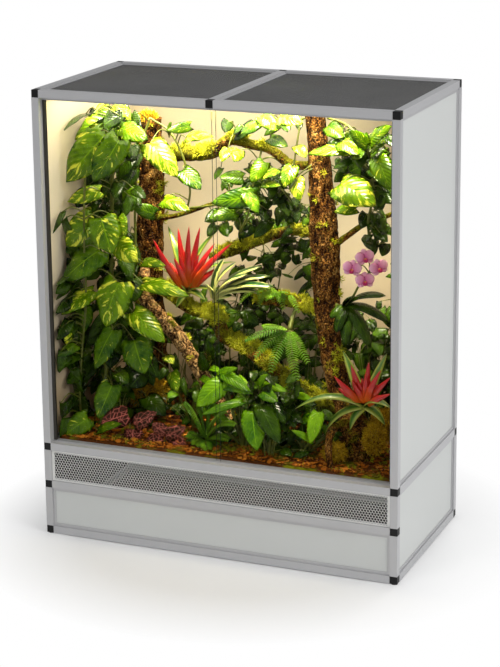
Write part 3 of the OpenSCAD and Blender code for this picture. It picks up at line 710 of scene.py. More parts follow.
def spot_at(px, py, depth):
    """The point seen at a pixel, brought nearer while it lies beyond the side walls"""
    point = seen(px, py, depth / 1000)
    while not (space_low[0] + wall_gap < point[0] < space_high[0] - wall_gap) and depth > nearest_mm:
        depth -= step_mm
        point = seen(px, py, depth / 1000)
    return within(point)


def closed_sheet(heap, upper, lower, seed, marks_u, marks_v):
    """Two facing grids of points that share their rims, as one closed leaf"""
    rows, cols = upper.shape[:2]
    top = np.arange(rows * cols).reshape(rows, cols)
    under = top.copy()
    under[1:-1, 1:-1] = rows * cols + np.arange((rows - 2) * (cols - 2)).reshape(rows - 2, cols - 2)
    points = np.concatenate([upper.reshape(-1, 3), lower[1:-1, 1:-1].reshape(-1, 3)])
    marks = np.stack([marks_u, marks_v, np.full(marks_u.shape, seed)], -1)
    marks = np.concatenate([marks.reshape(-1, 3), marks[1:-1, 1:-1].reshape(-1, 3)])
    faces = []
    for grid, flip in ((top, False), (under, True)):
        quads = np.stack([grid[:-1, :-1], grid[1:, :-1], grid[1:, 1:], grid[:-1, 1:]], -1).reshape(-1, 4)
        faces += (quads[:, ::-1] if flip else quads).tolist()
    heap.add(within(points), faces, marks)


def leaf(heap, base, tip, width, out, seed, arch=0.16, heart=0.16, round_base=0.5, point=0.9, cup=0.2,
         ripple=0.03, rows=12, cols=9):
    """A leaf from base to tip whose upper face looks roughly outwards

    arch lifts its midrib, heart draws its lobes back past the stalk, round_base fills its
    base, point sharpens its tip, cup and ripple bend its sides; seed varies its colour.
    """
    base, tip, out = (np.asarray(v, float) for v in (base, tip, out))
    length = np.linalg.norm(tip - base)
    out = out - (tip - base) * np.dot(out, tip - base) / length**2
    out = out / max(np.linalg.norm(out), 1e-6)
    bend = (base + tip) / 2 + out * arch * length
    u = np.linspace(0, 1, rows)[:, None]
    v = np.linspace(-1, 1, cols)[None, :]
    rib = (1 - u)[..., None] ** 2 * base + (2 * u * (1 - u))[..., None] * bend + u[..., None] ** 2 * tip
    along = unit_rows((1 - u)[..., None] * (bend - base) + u[..., None] * (tip - bend))
    side = unit_rows(np.cross(out, along))
    normal = np.cross(along, side)
    shape = (1 - u) ** point * (round_base + 2.6 * u) ** 0.7
    half = width / 2 * shape / shape.max() + 0.0003
    wave = ripple * width * np.sin(u * 14 + seed * 30 + np.sign(v) * 1.3) * np.abs(v) ** 2
    lift = -cup * half * v**2 + 0.10 * half * np.abs(v) * (1 - u) + wave
    back = heart * length * (1 - u) ** 3 * np.abs(v) ** 1.5
    middle = rib + side * (half * v)[..., None] + normal * lift[..., None] - along * back[..., None]
    proud = normal * (leaf_thick / 2 * (1 - v**2) * np.ones_like(u))[..., None]
    marks_u, marks_v = u * np.ones_like(v), v * np.ones_like(u)
    closed_sheet(heap, middle + proud, middle - proud, seed, marks_u, marks_v)


def stalk(heap, points, radii, sides=6):
    """A round stem through points in metres"""
    line = smooth_route([[*(np.asarray(p) * 1000), r * 1000] for p, r in zip(points, radii)], 0.006)
    line[:, :3] = within(line[:, :3])
    skin, _ = tube_grid(line, sides)
    heap.add(skin.reshape(-1, 3), tube_faces(len(line), sides))


def centre_line(points):
    """Evenly spaced points along a stem through points in metres"""
    return smooth_route([[*(p * 1000), 1] for p in points], 0.012)[:, :3]


def petiole(heap, root, base, radius, droop=0.25):
    """A leaf stalk which rises from its root and bends over to the leaf"""
    root, base = np.asarray(root, float), np.asarray(base, float)
    middle = (root + base) / 2 + np.array([0, -0.004, droop * np.linalg.norm(base - root)])
    stalk(heap, [root, middle, base], [radius * 1.2, radius, radius * 0.8])


def foliage(name, dark, light, gloss, cream=None, cream_from=0.8):
    """A waxy leaf, streaked with cream from the midrib where the plant is variegated"""
    wax = Finish(name)
    u, v, seed = wax.marks()
    off_rib = abs(v)
    slant = u - off_rib * 0.35
    uneven = wax.noise(30, 4, 0.6)
    tone = wax.blend(uneven * 1.6 + seed * 0.6 - 0.7, dark, light)
    if cream is not None:
        across_rib = wax.point(slant * 7, v * 1.3, seed * 60)
        streak = wax.noise(1.0, 4, 0.65, at=across_rib) + seed * 0.2 - cream_from
        tone = wax.blend(streak * 16, tone, cream)
    groove = abs((slant * 8).maths("FRACT") - 0.5) * 2
    tone = wax.blend((groove > 0.93) * 0.3, tone, light)
    tone = wax.blend((off_rib < 0.035) * 0.7, tone, light)
    wax.set(Base_Color=tone, Roughness=gloss, Specular_IOR_Level=0.27)
    wax.set(Normal=wax.bump(groove * 0.6 + uneven * 0.5, 0.0018, 0.8))
    return wax


stem_tone = Finish("green_stem")
stem_mottle = stem_tone.noise(120, 4, 0.6)
stem_tone.set(Base_Color=stem_tone.blend(stem_mottle, rgb(52, 66, 12), rgb(118, 124, 34)), Roughness=0.5)
stem_tone.set(Normal=stem_tone.bump(stem_mottle, 0.0008, 0.6))
pothos = foliage("pothos_leaf", rgb(22, 60, 2), rgb(112, 150, 6), 0.2, rgb(214, 218, 62), 0.685)
# A darker copy of the leaf: painted shade for the shaded leaves behind the lit ones and low in the bed; the
# orchid's strap leaves take it too
dark_and_shaded_green = foliage("dark_and_shaded_leaf", rgb(10, 30, 1), rgb(70, 104, 6), 0.2)


# ---- Climbers ----------------------------------------------------------------
# Variegated heart-leaved vines, trained up the left trunk and over the upper branch
# and the right trunk; each leaf hangs from its own stalk.
class Climber:
    """A vine: woody canes through places in the view, and leaves that hang from them"""

    def __init__(self, routes):
        self.stems, self.lit, self.shaded = Heap(), Heap(), Heap()
        canes = []
        for radius, places in routes:
            points = [spot_at(*place) for place in places]
            stalk(self.stems, points, [radius] * len(points), sides=8)
            canes.append(centre_line(points))
        self.canes = np.concatenate(canes)

    def hang(self, heap, base_px, tip_px, width, depth, seed):
        """A leaf at its place in the view, on a stalk from the nearest point of the canes"""
        base, tip = spot_at(*base_px, depth), spot_at(*tip_px, depth - 30)
        root = self.canes[np.argmin(np.linalg.norm(self.canes - base, axis=1))]
        if np.linalg.norm(base - root) > 0.006:
            petiole(self.stems, root, base, 0.0016)
        out = (0.25 + 0.4 * math.sin(40 * seed), -0.85, 0.5 + 0.35 * math.cos(25 * seed))
        leaf(heap, base, tip, width / 1000, out, seed, arch=0.16 + 0.12 * (seed - 0.5))

    def build(self, side):
        """Three pieces, of which the lit leaves stand for the vine's CAD node"""
        self.lit.build(f"pothos_{side}", pothos, "green_leaf", [f"climber_{side}"])
        self.shaded.build(f"pothos_{side}_shaded", dark_and_shaded_green, "green_leaf")
        self.stems.build(f"pothos_{side}_stems", stem_tone, "green_leaf")


# Each cane's radius in metres, and its places: pixels of the view and depth in millimetres
left_routes = [
    (0.0055, [(122, 90, 95), (118, 112, 60), (113, 150, 20), (112, 200, -10), (111, 250, -30),
              (112, 300, -50), (108, 350, -70), (104, 400, -90), (100, 437, -100)]),
    (0.0035, [(150, 118, 80), (140, 150, 60), (135, 200, 50), (135, 250, 30), (128, 300, 10),
              (134, 340, -10), (140, 380, -20), (142, 405, -20)]),
    (0.003, [(118, 112, 60), (106, 106, 20), (92, 118, -60), (86, 160, -110), (84, 230, -130),
             (86, 300, -120), (82, 350, -120), (80, 400, -120), (84, 430, -130)]),
    (0.003, [(150, 118, 80), (170, 132, 60), (184, 160, 50), (190, 190, 50), (186, 214, 60)])]
left = Climber(left_routes)
# Base and tip in the view, width and depth in millimetres, and the leaf's seed
left_leaves = [
    ((106, 134), (66, 182), 100, -110, 0.62), ((119, 140), (93, 182), 78, -120, 0.35),
    ((110, 118), (75, 140), 70, -60, 0.7), ((116, 104), (131, 121), 44, 0, 0.85),
    ((104, 104), (98, 117), 40, 0, 0.9), ((120, 128), (148, 140), 60, -40, 0.45),
    ((100, 191), (67, 202), 46, -100, 0.8), ((95, 219), (66, 246), 88, -110, 0.66),
    ((101, 218), (112, 254), 88, -130, 0.55), ((118, 218), (126, 236), 50, -100, 0.6),
    ((100, 250), (63, 281), 88, -120, 0.3), ((94, 291), (61, 315), 66, -110, 0.75),
    ((119, 282), (106, 327), 104, -140, 0.72), ((83, 307), (82, 334), 56, -80, 0.2),
    ((113, 330), (95, 369), 68, -130, 0.25), ((134, 340), (145, 374), 88, -130, 0.28),
    ((133, 312), (165, 343), 66, -120, 0.68), ((112, 385), (98, 419), 66, -140, 0.22),
    ((76, 345), (53, 357), 38, -150, 0.3), ((70, 342), (62, 328), 30, -150, 0.98),
    ((88, 418), (62, 440), 60, -170, 0.4), ((150, 143), (178, 178), 70, -50, 0.95),
    ((118, 243), (138, 262), 62, -100, 0.86), ((143, 262), (166, 266), 30, -60, 0.7),
    ((143, 283), (190, 297), 44, -90, 0.82), ((128, 190), (132, 212), 52, -20, 0.1),
    ((190, 126), (166, 131), 30, 20, 0.35), ((186, 138), (214, 137), 36, 10, 0.97),
    ((168, 134), (172, 122), 26, 40, 0.3), ((183, 170), (201, 190), 54, 20, 0.22),
    ((163, 200), (190, 211), 46, 0, 0.78), ((155, 214), (132, 206), 40, 20, 0.15),
    ((118, 372), (128, 384), 40, -80, 0.2), ((172, 372), (178, 392), 42, -60, 0.6),
    ((166, 356), (174, 364), 30, -60, 0.96), ((98, 430), (122, 424), 30, -170, 0.5)]
for row in left_leaves:
    left.hang(left.lit, *row)
# Shaded leaves at random behind them leave the wall's upper corner and the trunk bare
shade_px, shade_py = (60, 148), (110, 432)
corner_px, corner_py = 84, 205
trunk_px, trunk_py = 134, 300
for _ in range(230):
    px, py = grower.uniform(*shade_px), grower.uniform(*shade_py)
    if (px < corner_px and py < corner_py) or (px > trunk_px and py < trunk_py):
        continue
    tip_px = (px + grower.normal(-2, 12), py + grower.uniform(10, 26))
    width, depth = grower.uniform(28, 62), grower.uniform(-60, 90)
    left.hang(left.shaded, (px, py), tip_px, width, depth, grower.uniform(0, 0.6))
left.build("left")

right_routes = [
    (0.003, [(232, 138, 90), (250, 128, 70), (262, 116, 60), (290, 122, 50), (305, 118, 45)]),
    (0.003, [(262, 148, 90), (258, 165, 60), (252, 190, 40), (248, 215, 40), (240, 232, 60)]),
    (0.0025, [(300, 125, 50), (296, 150, 20), (294, 166, 0), (296, 180, -10)]),
    (0.0035, [(328, 118, 60), (348, 126, 20), (366, 148, -10), (372, 170, -10), (372, 200, 0),
              (368, 226, 20), (374, 250, 30)]),
    (0.0025, [(366, 148, -10), (380, 138, -20), (386, 125, -20)]),
    (0.003, [(190, 208, 95), (222, 204, 70), (246, 196, 50), (262, 186, 60)])]
right = Climber(right_routes)
right_leaves = [
    ((262, 116), (277, 131), 46, 20, 0.7), ((279, 117), (303, 124), 56, 20, 0.97),
    ((257, 124), (241, 134), 36, 30, 0.3), ((243, 178), (219, 177), 40, 20, 0.2),
    ((246, 190), (258, 214), 44, 10, 0.35), ((256, 196), (211, 203), 56, 10, 0.15),
    ((236, 212), (208, 218), 40, 20, 0.2), ((264, 162), (251, 183), 44, 20, 0.5),
    ((262, 176), (282, 172), 34, 20, 0.75), ((262, 184), (281, 186), 26, 20, 0.7),
    ((292, 166), (284, 188), 50, -30, 0.6), ((296, 178), (300, 201), 44, -30, 0.93),
    ((270, 138), (288, 147), 36, 20, 0.25), ((228, 148), (222, 162), 40, 20, 0.9),
    ((240, 150), (234, 162), 36, 20, 0.85), ((297, 146), (306, 158), 34, 0, 0.96),
    ((328, 126), (344, 138), 44, 10, 0.3), ((346, 150), (308, 154), 36, -20, 0.72),
    ((356, 150), (362, 158), 44, -20, 0.4), ((340, 142), (360, 155), 42, -20, 0.55),
    ((368, 146), (349, 130), 36, -60, 0.35), ((370, 142), (392, 126), 44, -60, 0.45),
    ((372, 150), (388, 142), 30, -50, 0.5), ((350, 172), (362, 166), 56, -10, 0.1),
    ((340, 184), (376, 206), 92, -60, 0.8), ((378, 158), (391, 190), 60, -60, 0.4),
    ((372, 168), (386, 178), 44, -30, 0.25), ((356, 208), (334, 212), 34, -30, 0.7)]
for row in right_leaves:
    right.hang(right.lit, *row)
# Shaded leaves, by turns on the right wall and behind the upper branch: the pixels and
# depths that they take, and where the trunk and the branch stay bare
wall_area = [(338, 388), (130, 245), (-20, 90)]
branch_area = [(215, 300), (120, 225), (60, 120)]
trunk_px, trunk_py = 366, 196
branch_top_py, branch_foot_py = 126, 166
for n in range(220):
    on_wall = n % 2 == 1
    px, py, depth = (grower.uniform(*span) for span in (wall_area if on_wall else branch_area))
    bare = (px < trunk_px and py > trunk_py) if on_wall else branch_top_py < py < branch_foot_py
    tip_px = (px + grower.normal(0, 9), py + grower.uniform(7, 17))
    if not bare:
        width = grower.uniform(18, 36)
        right.hang(right.shaded, (px, py), tip_px, width, depth, grower.uniform(0, 0.7))
right.build("right")


# ---- Moss --------------------------------------------------------------------
# Tufts of dry sheet moss, pressed on to the damp upper sides of the wood and on to
# the bed, every strand a tapered spike.
tuft_size = 28


def strands(heap, roots, ways, length, radius, spread):
    """A bent three-sided spike on every root"""
    count = len(roots)
    tuft = grower.uniform()
    ways = unit_rows(ways + grower.normal(0, spread, (count, 3)))
    size = grower.uniform(0.45, 1.0, (count, 1)) * length
    side = unit_rows(np.cross(ways, grower.normal(0, 1, (count, 3))))
    other = np.cross(ways, side)
    bend = roots + ways * size * 0.55 + side * size * 0.12
    end = roots + ways * size * 0.85 + side * size * 0.5
    triangle = [(math.cos(a), math.sin(a)) for a in (0, 2 * math.pi / 3, 4 * math.pi / 3)]
    low_ring = [roots - ways * 0.002 + radius * (side * c + other * s) for c, s in triangle]
    mid_ring = [bend + radius * 0.8 * (side * c + other * s) for c, s in triangle]
    points = within(np.stack(low_ring + mid_ring + [end], 1).reshape(-1, 3))
    faces = []
    for n in range(count):
        k = 7 * n
        faces += [(k + 2, k + 1, k)]
        faces += [(k, k + 1, k + 4, k + 3), (k + 1, k + 2, k + 5, k + 4), (k + 2, k, k + 3, k + 5)]
        faces += [(k + 3, k + 4, k + 6), (k + 4, k + 5, k + 6), (k + 5, k + 3, k + 6)]
    shade = grower.uniform(0, 1, count)
    marks = np.zeros((count, 7, 3))
    marks[..., 0] = shade[:, None] * 0.5 + tuft * 0.5
    marks[:, 3:, 1], marks[:, 6, 1] = 0.5, 1.0
    heap.add(points, faces, marks.reshape(-1, 3))


def cover(heap, skin, out, count, upness, span, length, patchy):
    """Moss tufts on those parts of a bough's skin that face up and lie in its patches"""
    rings = slice(int(span[0] * len(skin)), int(span[1] * len(skin)))
    places, ways = skin[rings].reshape(-1, 3), out[rings].reshape(-1, 3)
    damp = np.array([noise.noise(Vector(p) * 22) for p in places])
    damp = np.where((ways[:, 2] > upness) & (damp > patchy), np.exp(damp * 3), 0)
    for _ in range(count // tuft_size):
        picked = grower.choice(len(places), p=damp / damp.sum())
        size = grower.uniform(0.6, 1.3)
        roots = places[picked] + grower.normal(0, 0.0035 * size, (tuft_size, 3))
        outward = roots - places[picked] + ways[picked] * 0.006 + (0, -0.001, 0.002)
        strands(heap, roots, unit_rows(outward), length * size, 0.0009, 0.25)


def clump_of_moss(heap, centre, radii, count, length):
    """A loose clump of moss round a point"""
    ways = unit_rows(grower.normal(0, 1, (count, 3)) + (0, -0.3, 0.5))
    roots = np.asarray(centre) + ways * np.array(radii) * grower.uniform(0.5, 1.0, (count, 1))
    strands(heap, roots, ways, length, 0.0013, 0.4)


def moss_finish(name, dark, light, tipped):
    """Moss between two tones in patches, brighter at its tips"""
    pile = Finish(name)
    shade, height, _ = pile.marks()
    patch = pile.noise(26, 4, 0.65)
    tone = pile.blend(shade * 1.2 + patch * 0.9 - 0.65, dark, light)
    pile.set(Base_Color=pile.blend(height * patch * 1.3, tone, tipped), Roughness=0.85)
    pile.set(Specular_IOR_Level=0.1, Normal=pile.bump(patch, 0.001, 0.5))
    return pile


fresh_moss = moss_finish("fresh_moss", rgb(62, 74, 2), rgb(190, 194, 18), rgb(244, 242, 70))
dry_moss = moss_finish("dry_moss", rgb(96, 60, 4), rgb(186, 142, 16), rgb(232, 196, 48))
branch_moss, high_moss, trunk_moss, dry_tufts = Heap(), Heap(), Heap(), Heap()
# Strands, least upward lean, stretch of the bough, length of strand, and patchiness
cover(branch_moss, *moss_skin, 13000, -0.1, (0.03, 0.97), 0.014, -0.1)
cover(branch_moss, *log_skin, 3600, 0.0, (0.0, 1.0), 0.013, -0.2)
cover(high_moss, *branch_skin, 4600, 0.0, (0.03, 0.6), 0.011, -0.1)
cover(high_moss, *rear_skin, 4200, -0.1, (0.1, 0.9), 0.012, 0.0)
cover(high_moss, *scaly_skin, 1600, 0.2, (0.0, 1.0), 0.009, 0.1)
cover(trunk_moss, *left_skin, 1700, -0.9, (0.0, 1.0), 0.010, 0.12)
cover(trunk_moss, *right_skin, 2200, -0.9, (0.0, 0.85), 0.011, 0.12)
# Centre and radii in metres
dry_clumps = [
    ((0.29, -0.15, 0.29), (0.03, 0.02, 0.025)), ((-0.345, 0.12, 1.07), (0.028, 0.028, 0.016)),
    ((-0.31, 0.0, 0.345), (0.066, 0.03, 0.055)), ((0.395, -0.07, 0.35), (0.035, 0.03, 0.045)),
    ((0.385, -0.115, 0.325), (0.03, 0.02, 0.04))]
for centre, radii in dry_clumps:
    clump_of_moss(dry_tufts, centre, radii, 1500, 0.016)
bed_strands = 9000
bed_spots = np.stack([grower.uniform(bed_low[0] + 0.02, bed_high[0] - 0.02, bed_strands),
                      grower.uniform(bed_low[1] + 0.01, bed_high[1] - 0.02, bed_strands)], 1)
bed_damp = np.array([noise.noise((x * 14, y * 20, 1.7)) for x, y in bed_spots])
bed_roots = np.array([(x, y, bed_top(x, y)) for x, y in bed_spots[bed_damp > 0.08]])
strands(high_moss, bed_roots, np.tile((0, -0.1, 1.0), (len(bed_roots), 1)), 0.012, 0.0008, 0.4)
branch_moss.build("moss_fresh", fresh_moss, "mossy_wood", smooth=False)
high_moss.build("moss_on_branches", fresh_moss, "mossy_wood", smooth=False)
trunk_moss.build("moss_on_trunks", fresh_moss, "bark_wood", smooth=False)
dry_tufts.build("moss_dry", dry_moss, "bark_wood", smooth=False)


# ---- Bromeliads --------------------------------------------------------------
# Two scarlet rosettes of stiff strap leaves with green outer leaves, one wired to
# the mossy branch and one seated on the stump of the right trunk.
scarlet = Finish("bromeliad_leaf")
along, aside, kind = scarlet.marks()
ribbed = scarlet.noise(1.0, 3, 0.6, at=scarlet.point(along * 2, aside * 9, kind * 30))
red = scarlet.blend(along * 1.9 - 0.2, rgb(224, 104, 14), rgb(186, 10, 20))
red = scarlet.blend(ribbed * 1.6 - 0.7, red, rgb(236, 74, 44))
green = scarlet.blend(abs(aside) * 1.6 - 0.6 + ribbed * 0.4, rgb(60, 106, 26), rgb(176, 186, 72))
scarlet.set(Base_Color=scarlet.blend(kind > 0.5, red, green), Roughness=0.3, Coat_Weight=0.3)
scarlet.set(Normal=scarlet.bump(ribbed, 0.001, 0.5))
rosettes = Heap()
strap_form = {"heart": 0.0, "round_base": 1.3, "point": 0.8, "cup": 0.3, "ripple": 0.01}


def whorl(foot, tips, width, seed, step=0.04, fan=0.0):
    """Strap leaves from one foot; a seed over 0.5 makes them green, below it red"""
    for px, py, depth, arch in tips:
        base = spot_at(foot[0] + (px - foot[0]) * fan, foot[1], foot[2])
        out = (0.1, -1.0, 0.35) if seed < 0.5 else (0.0, -0.35, 1.0)
        leaf(rosettes, base, spot_at(px, py, depth), width, out, seed, arch, rows=14, cols=7, **strap_form)
        seed += step


# Each whorl's foot and its tips: a pixel and a depth in millimetres, and a tip's arch
branch_outer = ((188, 290, 60), [
    (153, 239, 10, 0.3), (158, 250, 35, 0.3), (178, 228, 60, 0.08), (189, 226, 10, 0.08),
    (200, 227, 35, 0.08), (215, 243, 60, 0.3), (232, 243, 10, 0.3), (222, 266, 35, 0.3),
    (170, 262, 60, 0.3)])
branch_inner = ((189, 288, 54), [
    (174 + 5 * n, 246 + 4 * abs(n - 3), 20 + 12 * (n % 3), 0.14) for n in range(7)])
branch_green = ((188, 291, 66), [
    (222, 226, 100, 0.3), (160, 268, 30, 0.3), (168, 226, 120, 0.3), (236, 262, 20, 0.3),
    (214, 290, 30, 0.3), (172, 290, 40, 0.3), (205, 300, 20, 0.3), (176, 308, 30, 0.3)])
stump_outer = ((365, 404, -105), [
    (334, 376, -150, 0.3), (351, 365, -135, 0.08), (369, 362, -120, 0.08), (381, 370, -150, 0.3),
    (391, 377, -135, 0.3), (338, 388, -120, 0.3), (391, 394, -150, 0.3), (352, 380, -135, 0.08)])
stump_inner = ((366, 403, -110), [
    (354 + 4 * n, 375 + 3 * abs(n - 3), -140 + 10 * (n % 3), 0.14) for n in range(7)])
stump_green = ((365, 405, -105), [
    (295, 409, -150, 0.42), (325, 434, -132, 0.42), (343, 351, -44, 0.12), (387, 353, -26, 0.12),
    (391, 408, -150, 0.42), (350, 430, -132, 0.42), (385, 425, -114, 0.42), (330, 400, -96, 0.42)])
outer_width, inner_width = 0.02074, 0.01952
rosettes_seen = [(branch_outer, branch_inner, branch_green, 0.02684),
                 (stump_outer, stump_inner, stump_green, 0.02928)]
for outer_ring, inner_ring, green_ring, green_width in rosettes_seen:
    whorl(*outer_ring, outer_width, 0.1, fan=0.08)
    whorl(*inner_ring, inner_width, 0.0, step=0.05)
    whorl(*green_ring, green_width, 0.6)
rosettes.build("bromeliad_rosettes", scarlet, "bromeliad_leaf", ["bromeliads"])


# ---- Orchid ------------------------------------------------------------------
# A moth orchid on the right trunk: four pink blossoms with magenta and orange lips
# on an arching spike, over a fan of dark strap leaves.
petal = Finish("orchid_petal")
along, aside, kind = petal.marks()
nerves = abs((aside * 5).maths("FRACT") - 0.5) * 2
pink = petal.blend(along * 1.1 + nerves * 0.25 - 0.1, rgb(212, 78, 150), rgb(248, 190, 218))
lip_tone = petal.blend(along * 1.6, rgb(236, 140, 30), rgb(190, 16, 104))
petal.set(Base_Color=petal.blend(kind > 0.5, pink, lip_tone))
petal.set(Roughness=0.5, Normal=petal.bump(nerves, 0.0006, 0.4))
blossoms, orchid_leaves, orchid_stems = Heap(), Heap(), Heap()
# Where the leaves sprout, and where the spike forks into the blossoms' stems
crown = np.array([0.268, 0.0, 0.640])
fork = np.array([0.350, -0.058, 0.746])
spike = [crown + (-0.063, 0.035, -0.008), crown, crown + (0.05, -0.03, 0.075), fork]
stalk(orchid_stems, spike, [0.005, 0.004, 0.0025, 0.002])
# Angle in degrees, length and width in metres, and seed; over 0.5 it is a part of the lip
petals = [(90, 0.023, 0.017, 0.1), (215, 0.022, 0.016, 0.15), (325, 0.022, 0.016, 0.2),
          (20, 0.025, 0.027, 0.3), (160, 0.025, 0.027, 0.35), (270, 0.011, 0.011, 0.9),
          (240, 0.007, 0.006, 0.8), (300, 0.007, 0.006, 0.85)]
petal_form = {"heart": 0.0, "round_base": 0.35, "point": 0.55, "cup": 0.15, "ripple": 0.03}
# Each blossom's pixel and depth in millimetres, and its tilt in degrees
blossoms_seen = [((365, 258, -70), 12), ((352, 269, -86), -8), ((379, 268, -66), 20), ((365, 281, -72), 4)]
for place, tilt in blossoms_seen:
    middle = spot_at(*place)
    face = unit_rows(np.array([0.32 + 0.01 * tilt, -0.92, 0.12]))
    right_of = unit_rows(np.cross(face, (0, 0, -1.0)))
    up_of = np.cross(face, right_of)
    stem = [fork, (fork + middle) / 2 + (0, 0.012, 0.012), middle + face * -0.006]
    stalk(orchid_stems, stem, [0.002, 0.0016, 0.0013])
    for angle, reach, width, seed in petals:
        turn = math.radians(angle + tilt)
        way = right_of * math.cos(turn) + up_of * math.sin(turn)
        lip = seed > 0.5
        layer = 0.004 if lip else (0.001 if width > 0.02 else -0.001)
        start = middle + face * layer + way * 0.001
        end = start + way * reach + face * (0.006 if lip else -0.002)
        leaf(blossoms, start, end, width, face, seed, 0.12, rows=7, cols=7, **petal_form)
orchid_form = {"heart": 0.0, "round_base": 0.8, "point": 0.5, "cup": 0.35, "ripple": 0.01}
orchid_tips = [(351, 297), (386, 296), (336, 333), (389, 322), (371, 348), (346, 346), (330, 318)]
for n, (px, py) in enumerate(orchid_tips):
    base = crown + (0.004 * (n % 3 - 1), 0.003 * (n % 2), 0)
    tip = spot_at(px, py, -30 - 12 * (n % 3))
    leaf(orchid_leaves, base, tip, 0.034, (0, -0.4, 1), 0.1 * n, 0.3, **orchid_form)
blossoms.build("orchid_blossoms", petal, "orchid_bloom", ["orchid"])
orchid_leaves.build("orchid_leaves", dark_and_shaded_green, "green_leaf")
orchid_stems.build("orchid_stems", stem_tone, "green_leaf")


# ---- Ferns -------------------------------------------------------------------
# Sword ferns: every frond a bent midrib with rows of small leaflets that shorten to
# its tip, in a clump that hangs from the rear log, in sprigs along it, and in the bed.
leaflet_form = {"heart": 0.0, "round_base": 0.8, "point": 0.6, "cup": 0.1, "ripple": 0.0}


def frond(base, tip, width, seed, arch):
    """A bent midrib with a leaflet on either hand at every step"""
    base, tip = np.asarray(base), np.asarray(tip)
    length = np.linalg.norm(tip - base)
    pairs = int(length / 0.0088) + 3
    bend = (base + tip) / 2 + np.array([0, -0.02, arch * length])
    steps = [(1 - t) ** 2 * base + 2 * t * (1 - t) * bend + t * t * tip for t in np.linspace(0, 1, pairs + 3)]
    stalk(fern_stems, [steps[0], steps[len(steps) // 2], steps[-1]], [0.0014, 0.0009, 0.0005])
    out = (0.1, -0.35, 1.0)
    for k in range(2, len(steps) - 1):
        way = unit_rows(steps[k + 1] - steps[k - 1])
        side = unit_rows(np.cross(out, way))
        reach = width / 2 * math.sin(math.pi * (0.16 + 0.80 * k / len(steps))) ** 0.8
        for hand in (-1, 1):
            end = steps[k] + (side * hand * 0.93 + way * 0.36) * reach + (0, 0, -0.18 * reach)
            leaf(fern_leaves, steps[k], end, 0.0044, out, seed, 0.06, rows=5, cols=3, **leaflet_form)


fern_green = foliage("fern_leaf", rgb(66, 128, 8), rgb(160, 208, 40), 0.4)
fern_leaves, fern_stems = Heap(), Heap()
# Where the clumps sprout: under the rear log, and in the bed
high_clump = np.array([0.112, -0.006, 0.560])
low_clump = np.array([-0.080, -0.120, bed_top(-0.08, -0.12)])
stalk(fern_stems, [(0.112, 0.05, 0.610), (0.112, 0.02, 0.59), high_clump], [0.006, 0.006, 0.007])
high_tips = [(244, 341), (254, 358), (270, 374), (297, 382), (309, 364), (262, 327)]
for n, (px, py) in enumerate(high_tips):
    frond(high_clump, spot_at(px, py, -60 - 24 * (n % 4)), 0.038, 0.1 * n, 0.2)
for n, place in enumerate([(-6, 88, 632), (30, 60, 640), (60, 56, 640), (86, 54, 636)]):
    start = np.array(place) / 1000
    for k in range(4):
        reach = np.array([0.05 * math.cos(k * 1.7 + n), -0.045, 0.03 * math.sin(k * 2.1) - 0.01])
        frond(start, start + reach, 0.022, 0.6, 0.4)
low_tips = [(187, 434), (196, 421), (184, 403), (208, 450), (222, 452), (230, 440), (195, 445), (236, 425),
            (215, 400), (200, 405), (226, 412)]
for n, (px, py) in enumerate(low_tips):
    frond(low_clump, spot_at(px, py, -150 - 14 * (n % 4)), 0.042, 0.13 * n % 1, 0.35)
fern_leaves.build("fern_fronds", fern_green, "green_leaf", ["ferns"])
fern_stems.build("fern_stems", stem_tone, "green_leaf")


# ---- Ground plants -----------------------------------------------------------
# Arrowhead plants rooted in clumps in the bed, every leaf on its own stalk, and leaves low among them that
# are darker, as painted shade.
arrowhead = foliage("arrowhead_leaf", rgb(40, 92, 4), rgb(136, 186, 16), 0.22, rgb(222, 226, 90))
bright_leaves, shaded_leaves, ground_stems = Heap(), Heap(), Heap()
clump_places = {"far_left": (-0.36, -0.06), "left": (-0.17, -0.02), "middle": (0.03, -0.12),
                "right": (0.11, -0.15), "stump": (0.20, -0.12)}
clumps = {name: np.array([x, y, bed_top(x, y)]) for name, (x, y) in clump_places.items()}


def rooted(heap, clump, base_px, tip_px, width, depth, seed, arch=0.15):
    """A leaf at its place in the view, on a stalk that comes out of the bed"""
    base, tip = spot_at(*base_px, depth), spot_at(*tip_px, depth - 40)
    foot = clumps[clump] + (grower.normal(0, 0.006), grower.normal(0, 0.006), -0.004)
    petiole(ground_stems, foot, base, 0.0018, 0.12)
    leaf(heap, base, tip, width / 1000, (0.2, -0.8, 0.6), seed, arch, 0.1)


# Clump, base and tip in the view, width and depth in millimetres, and seed
bright = [
    ("middle", (223, 382), (196, 407), 62, -130, 0.6), ("middle", (252, 411), (257, 451), 64, -170, 0.35),
    ("middle", (243, 401), (201, 415), 24, -160, 0.5), ("middle", (222, 373), (251, 392), 34, -120, 0.3),
    ("middle", (218, 384), (252, 394), 26, -120, 0.2), ("middle", (216, 376), (238, 368), 28, -100, 0.4),
    ("middle", (232, 386), (228, 372), 26, -100, 0.7), ("left", (176, 392), (168, 398), 26, -80, 0.4),
    ("right", (262, 392), (278, 402), 36, -140, 0.25), ("stump", (318, 412), (310, 444), 40, -160, 0.8),
    ("stump", (313, 441), (291, 430), 20, -170, 0.65), ("right", (258, 386), (268, 374), 24, -120, 0.75)]
for row in bright:
    rooted(bright_leaves, *row)
# Leaves darker, as painted shade, with the same columns
dark = [
    ("right", (261, 407), (280, 444), 54, -165, 0.5), ("right", (268, 396), (286, 424), 44, -130, 0.1),
    ("right", (262, 400), (272, 384), 36, -120, 0.2), ("left", (206, 372), (200, 352), 30, -60, 0.1),
    ("left", (212, 360), (207, 338), 28, -50, 0.2), ("right", (285, 410), (296, 428), 34, -120, 0.3)]
for row in dark:
    rooted(shaded_leaves, *row)
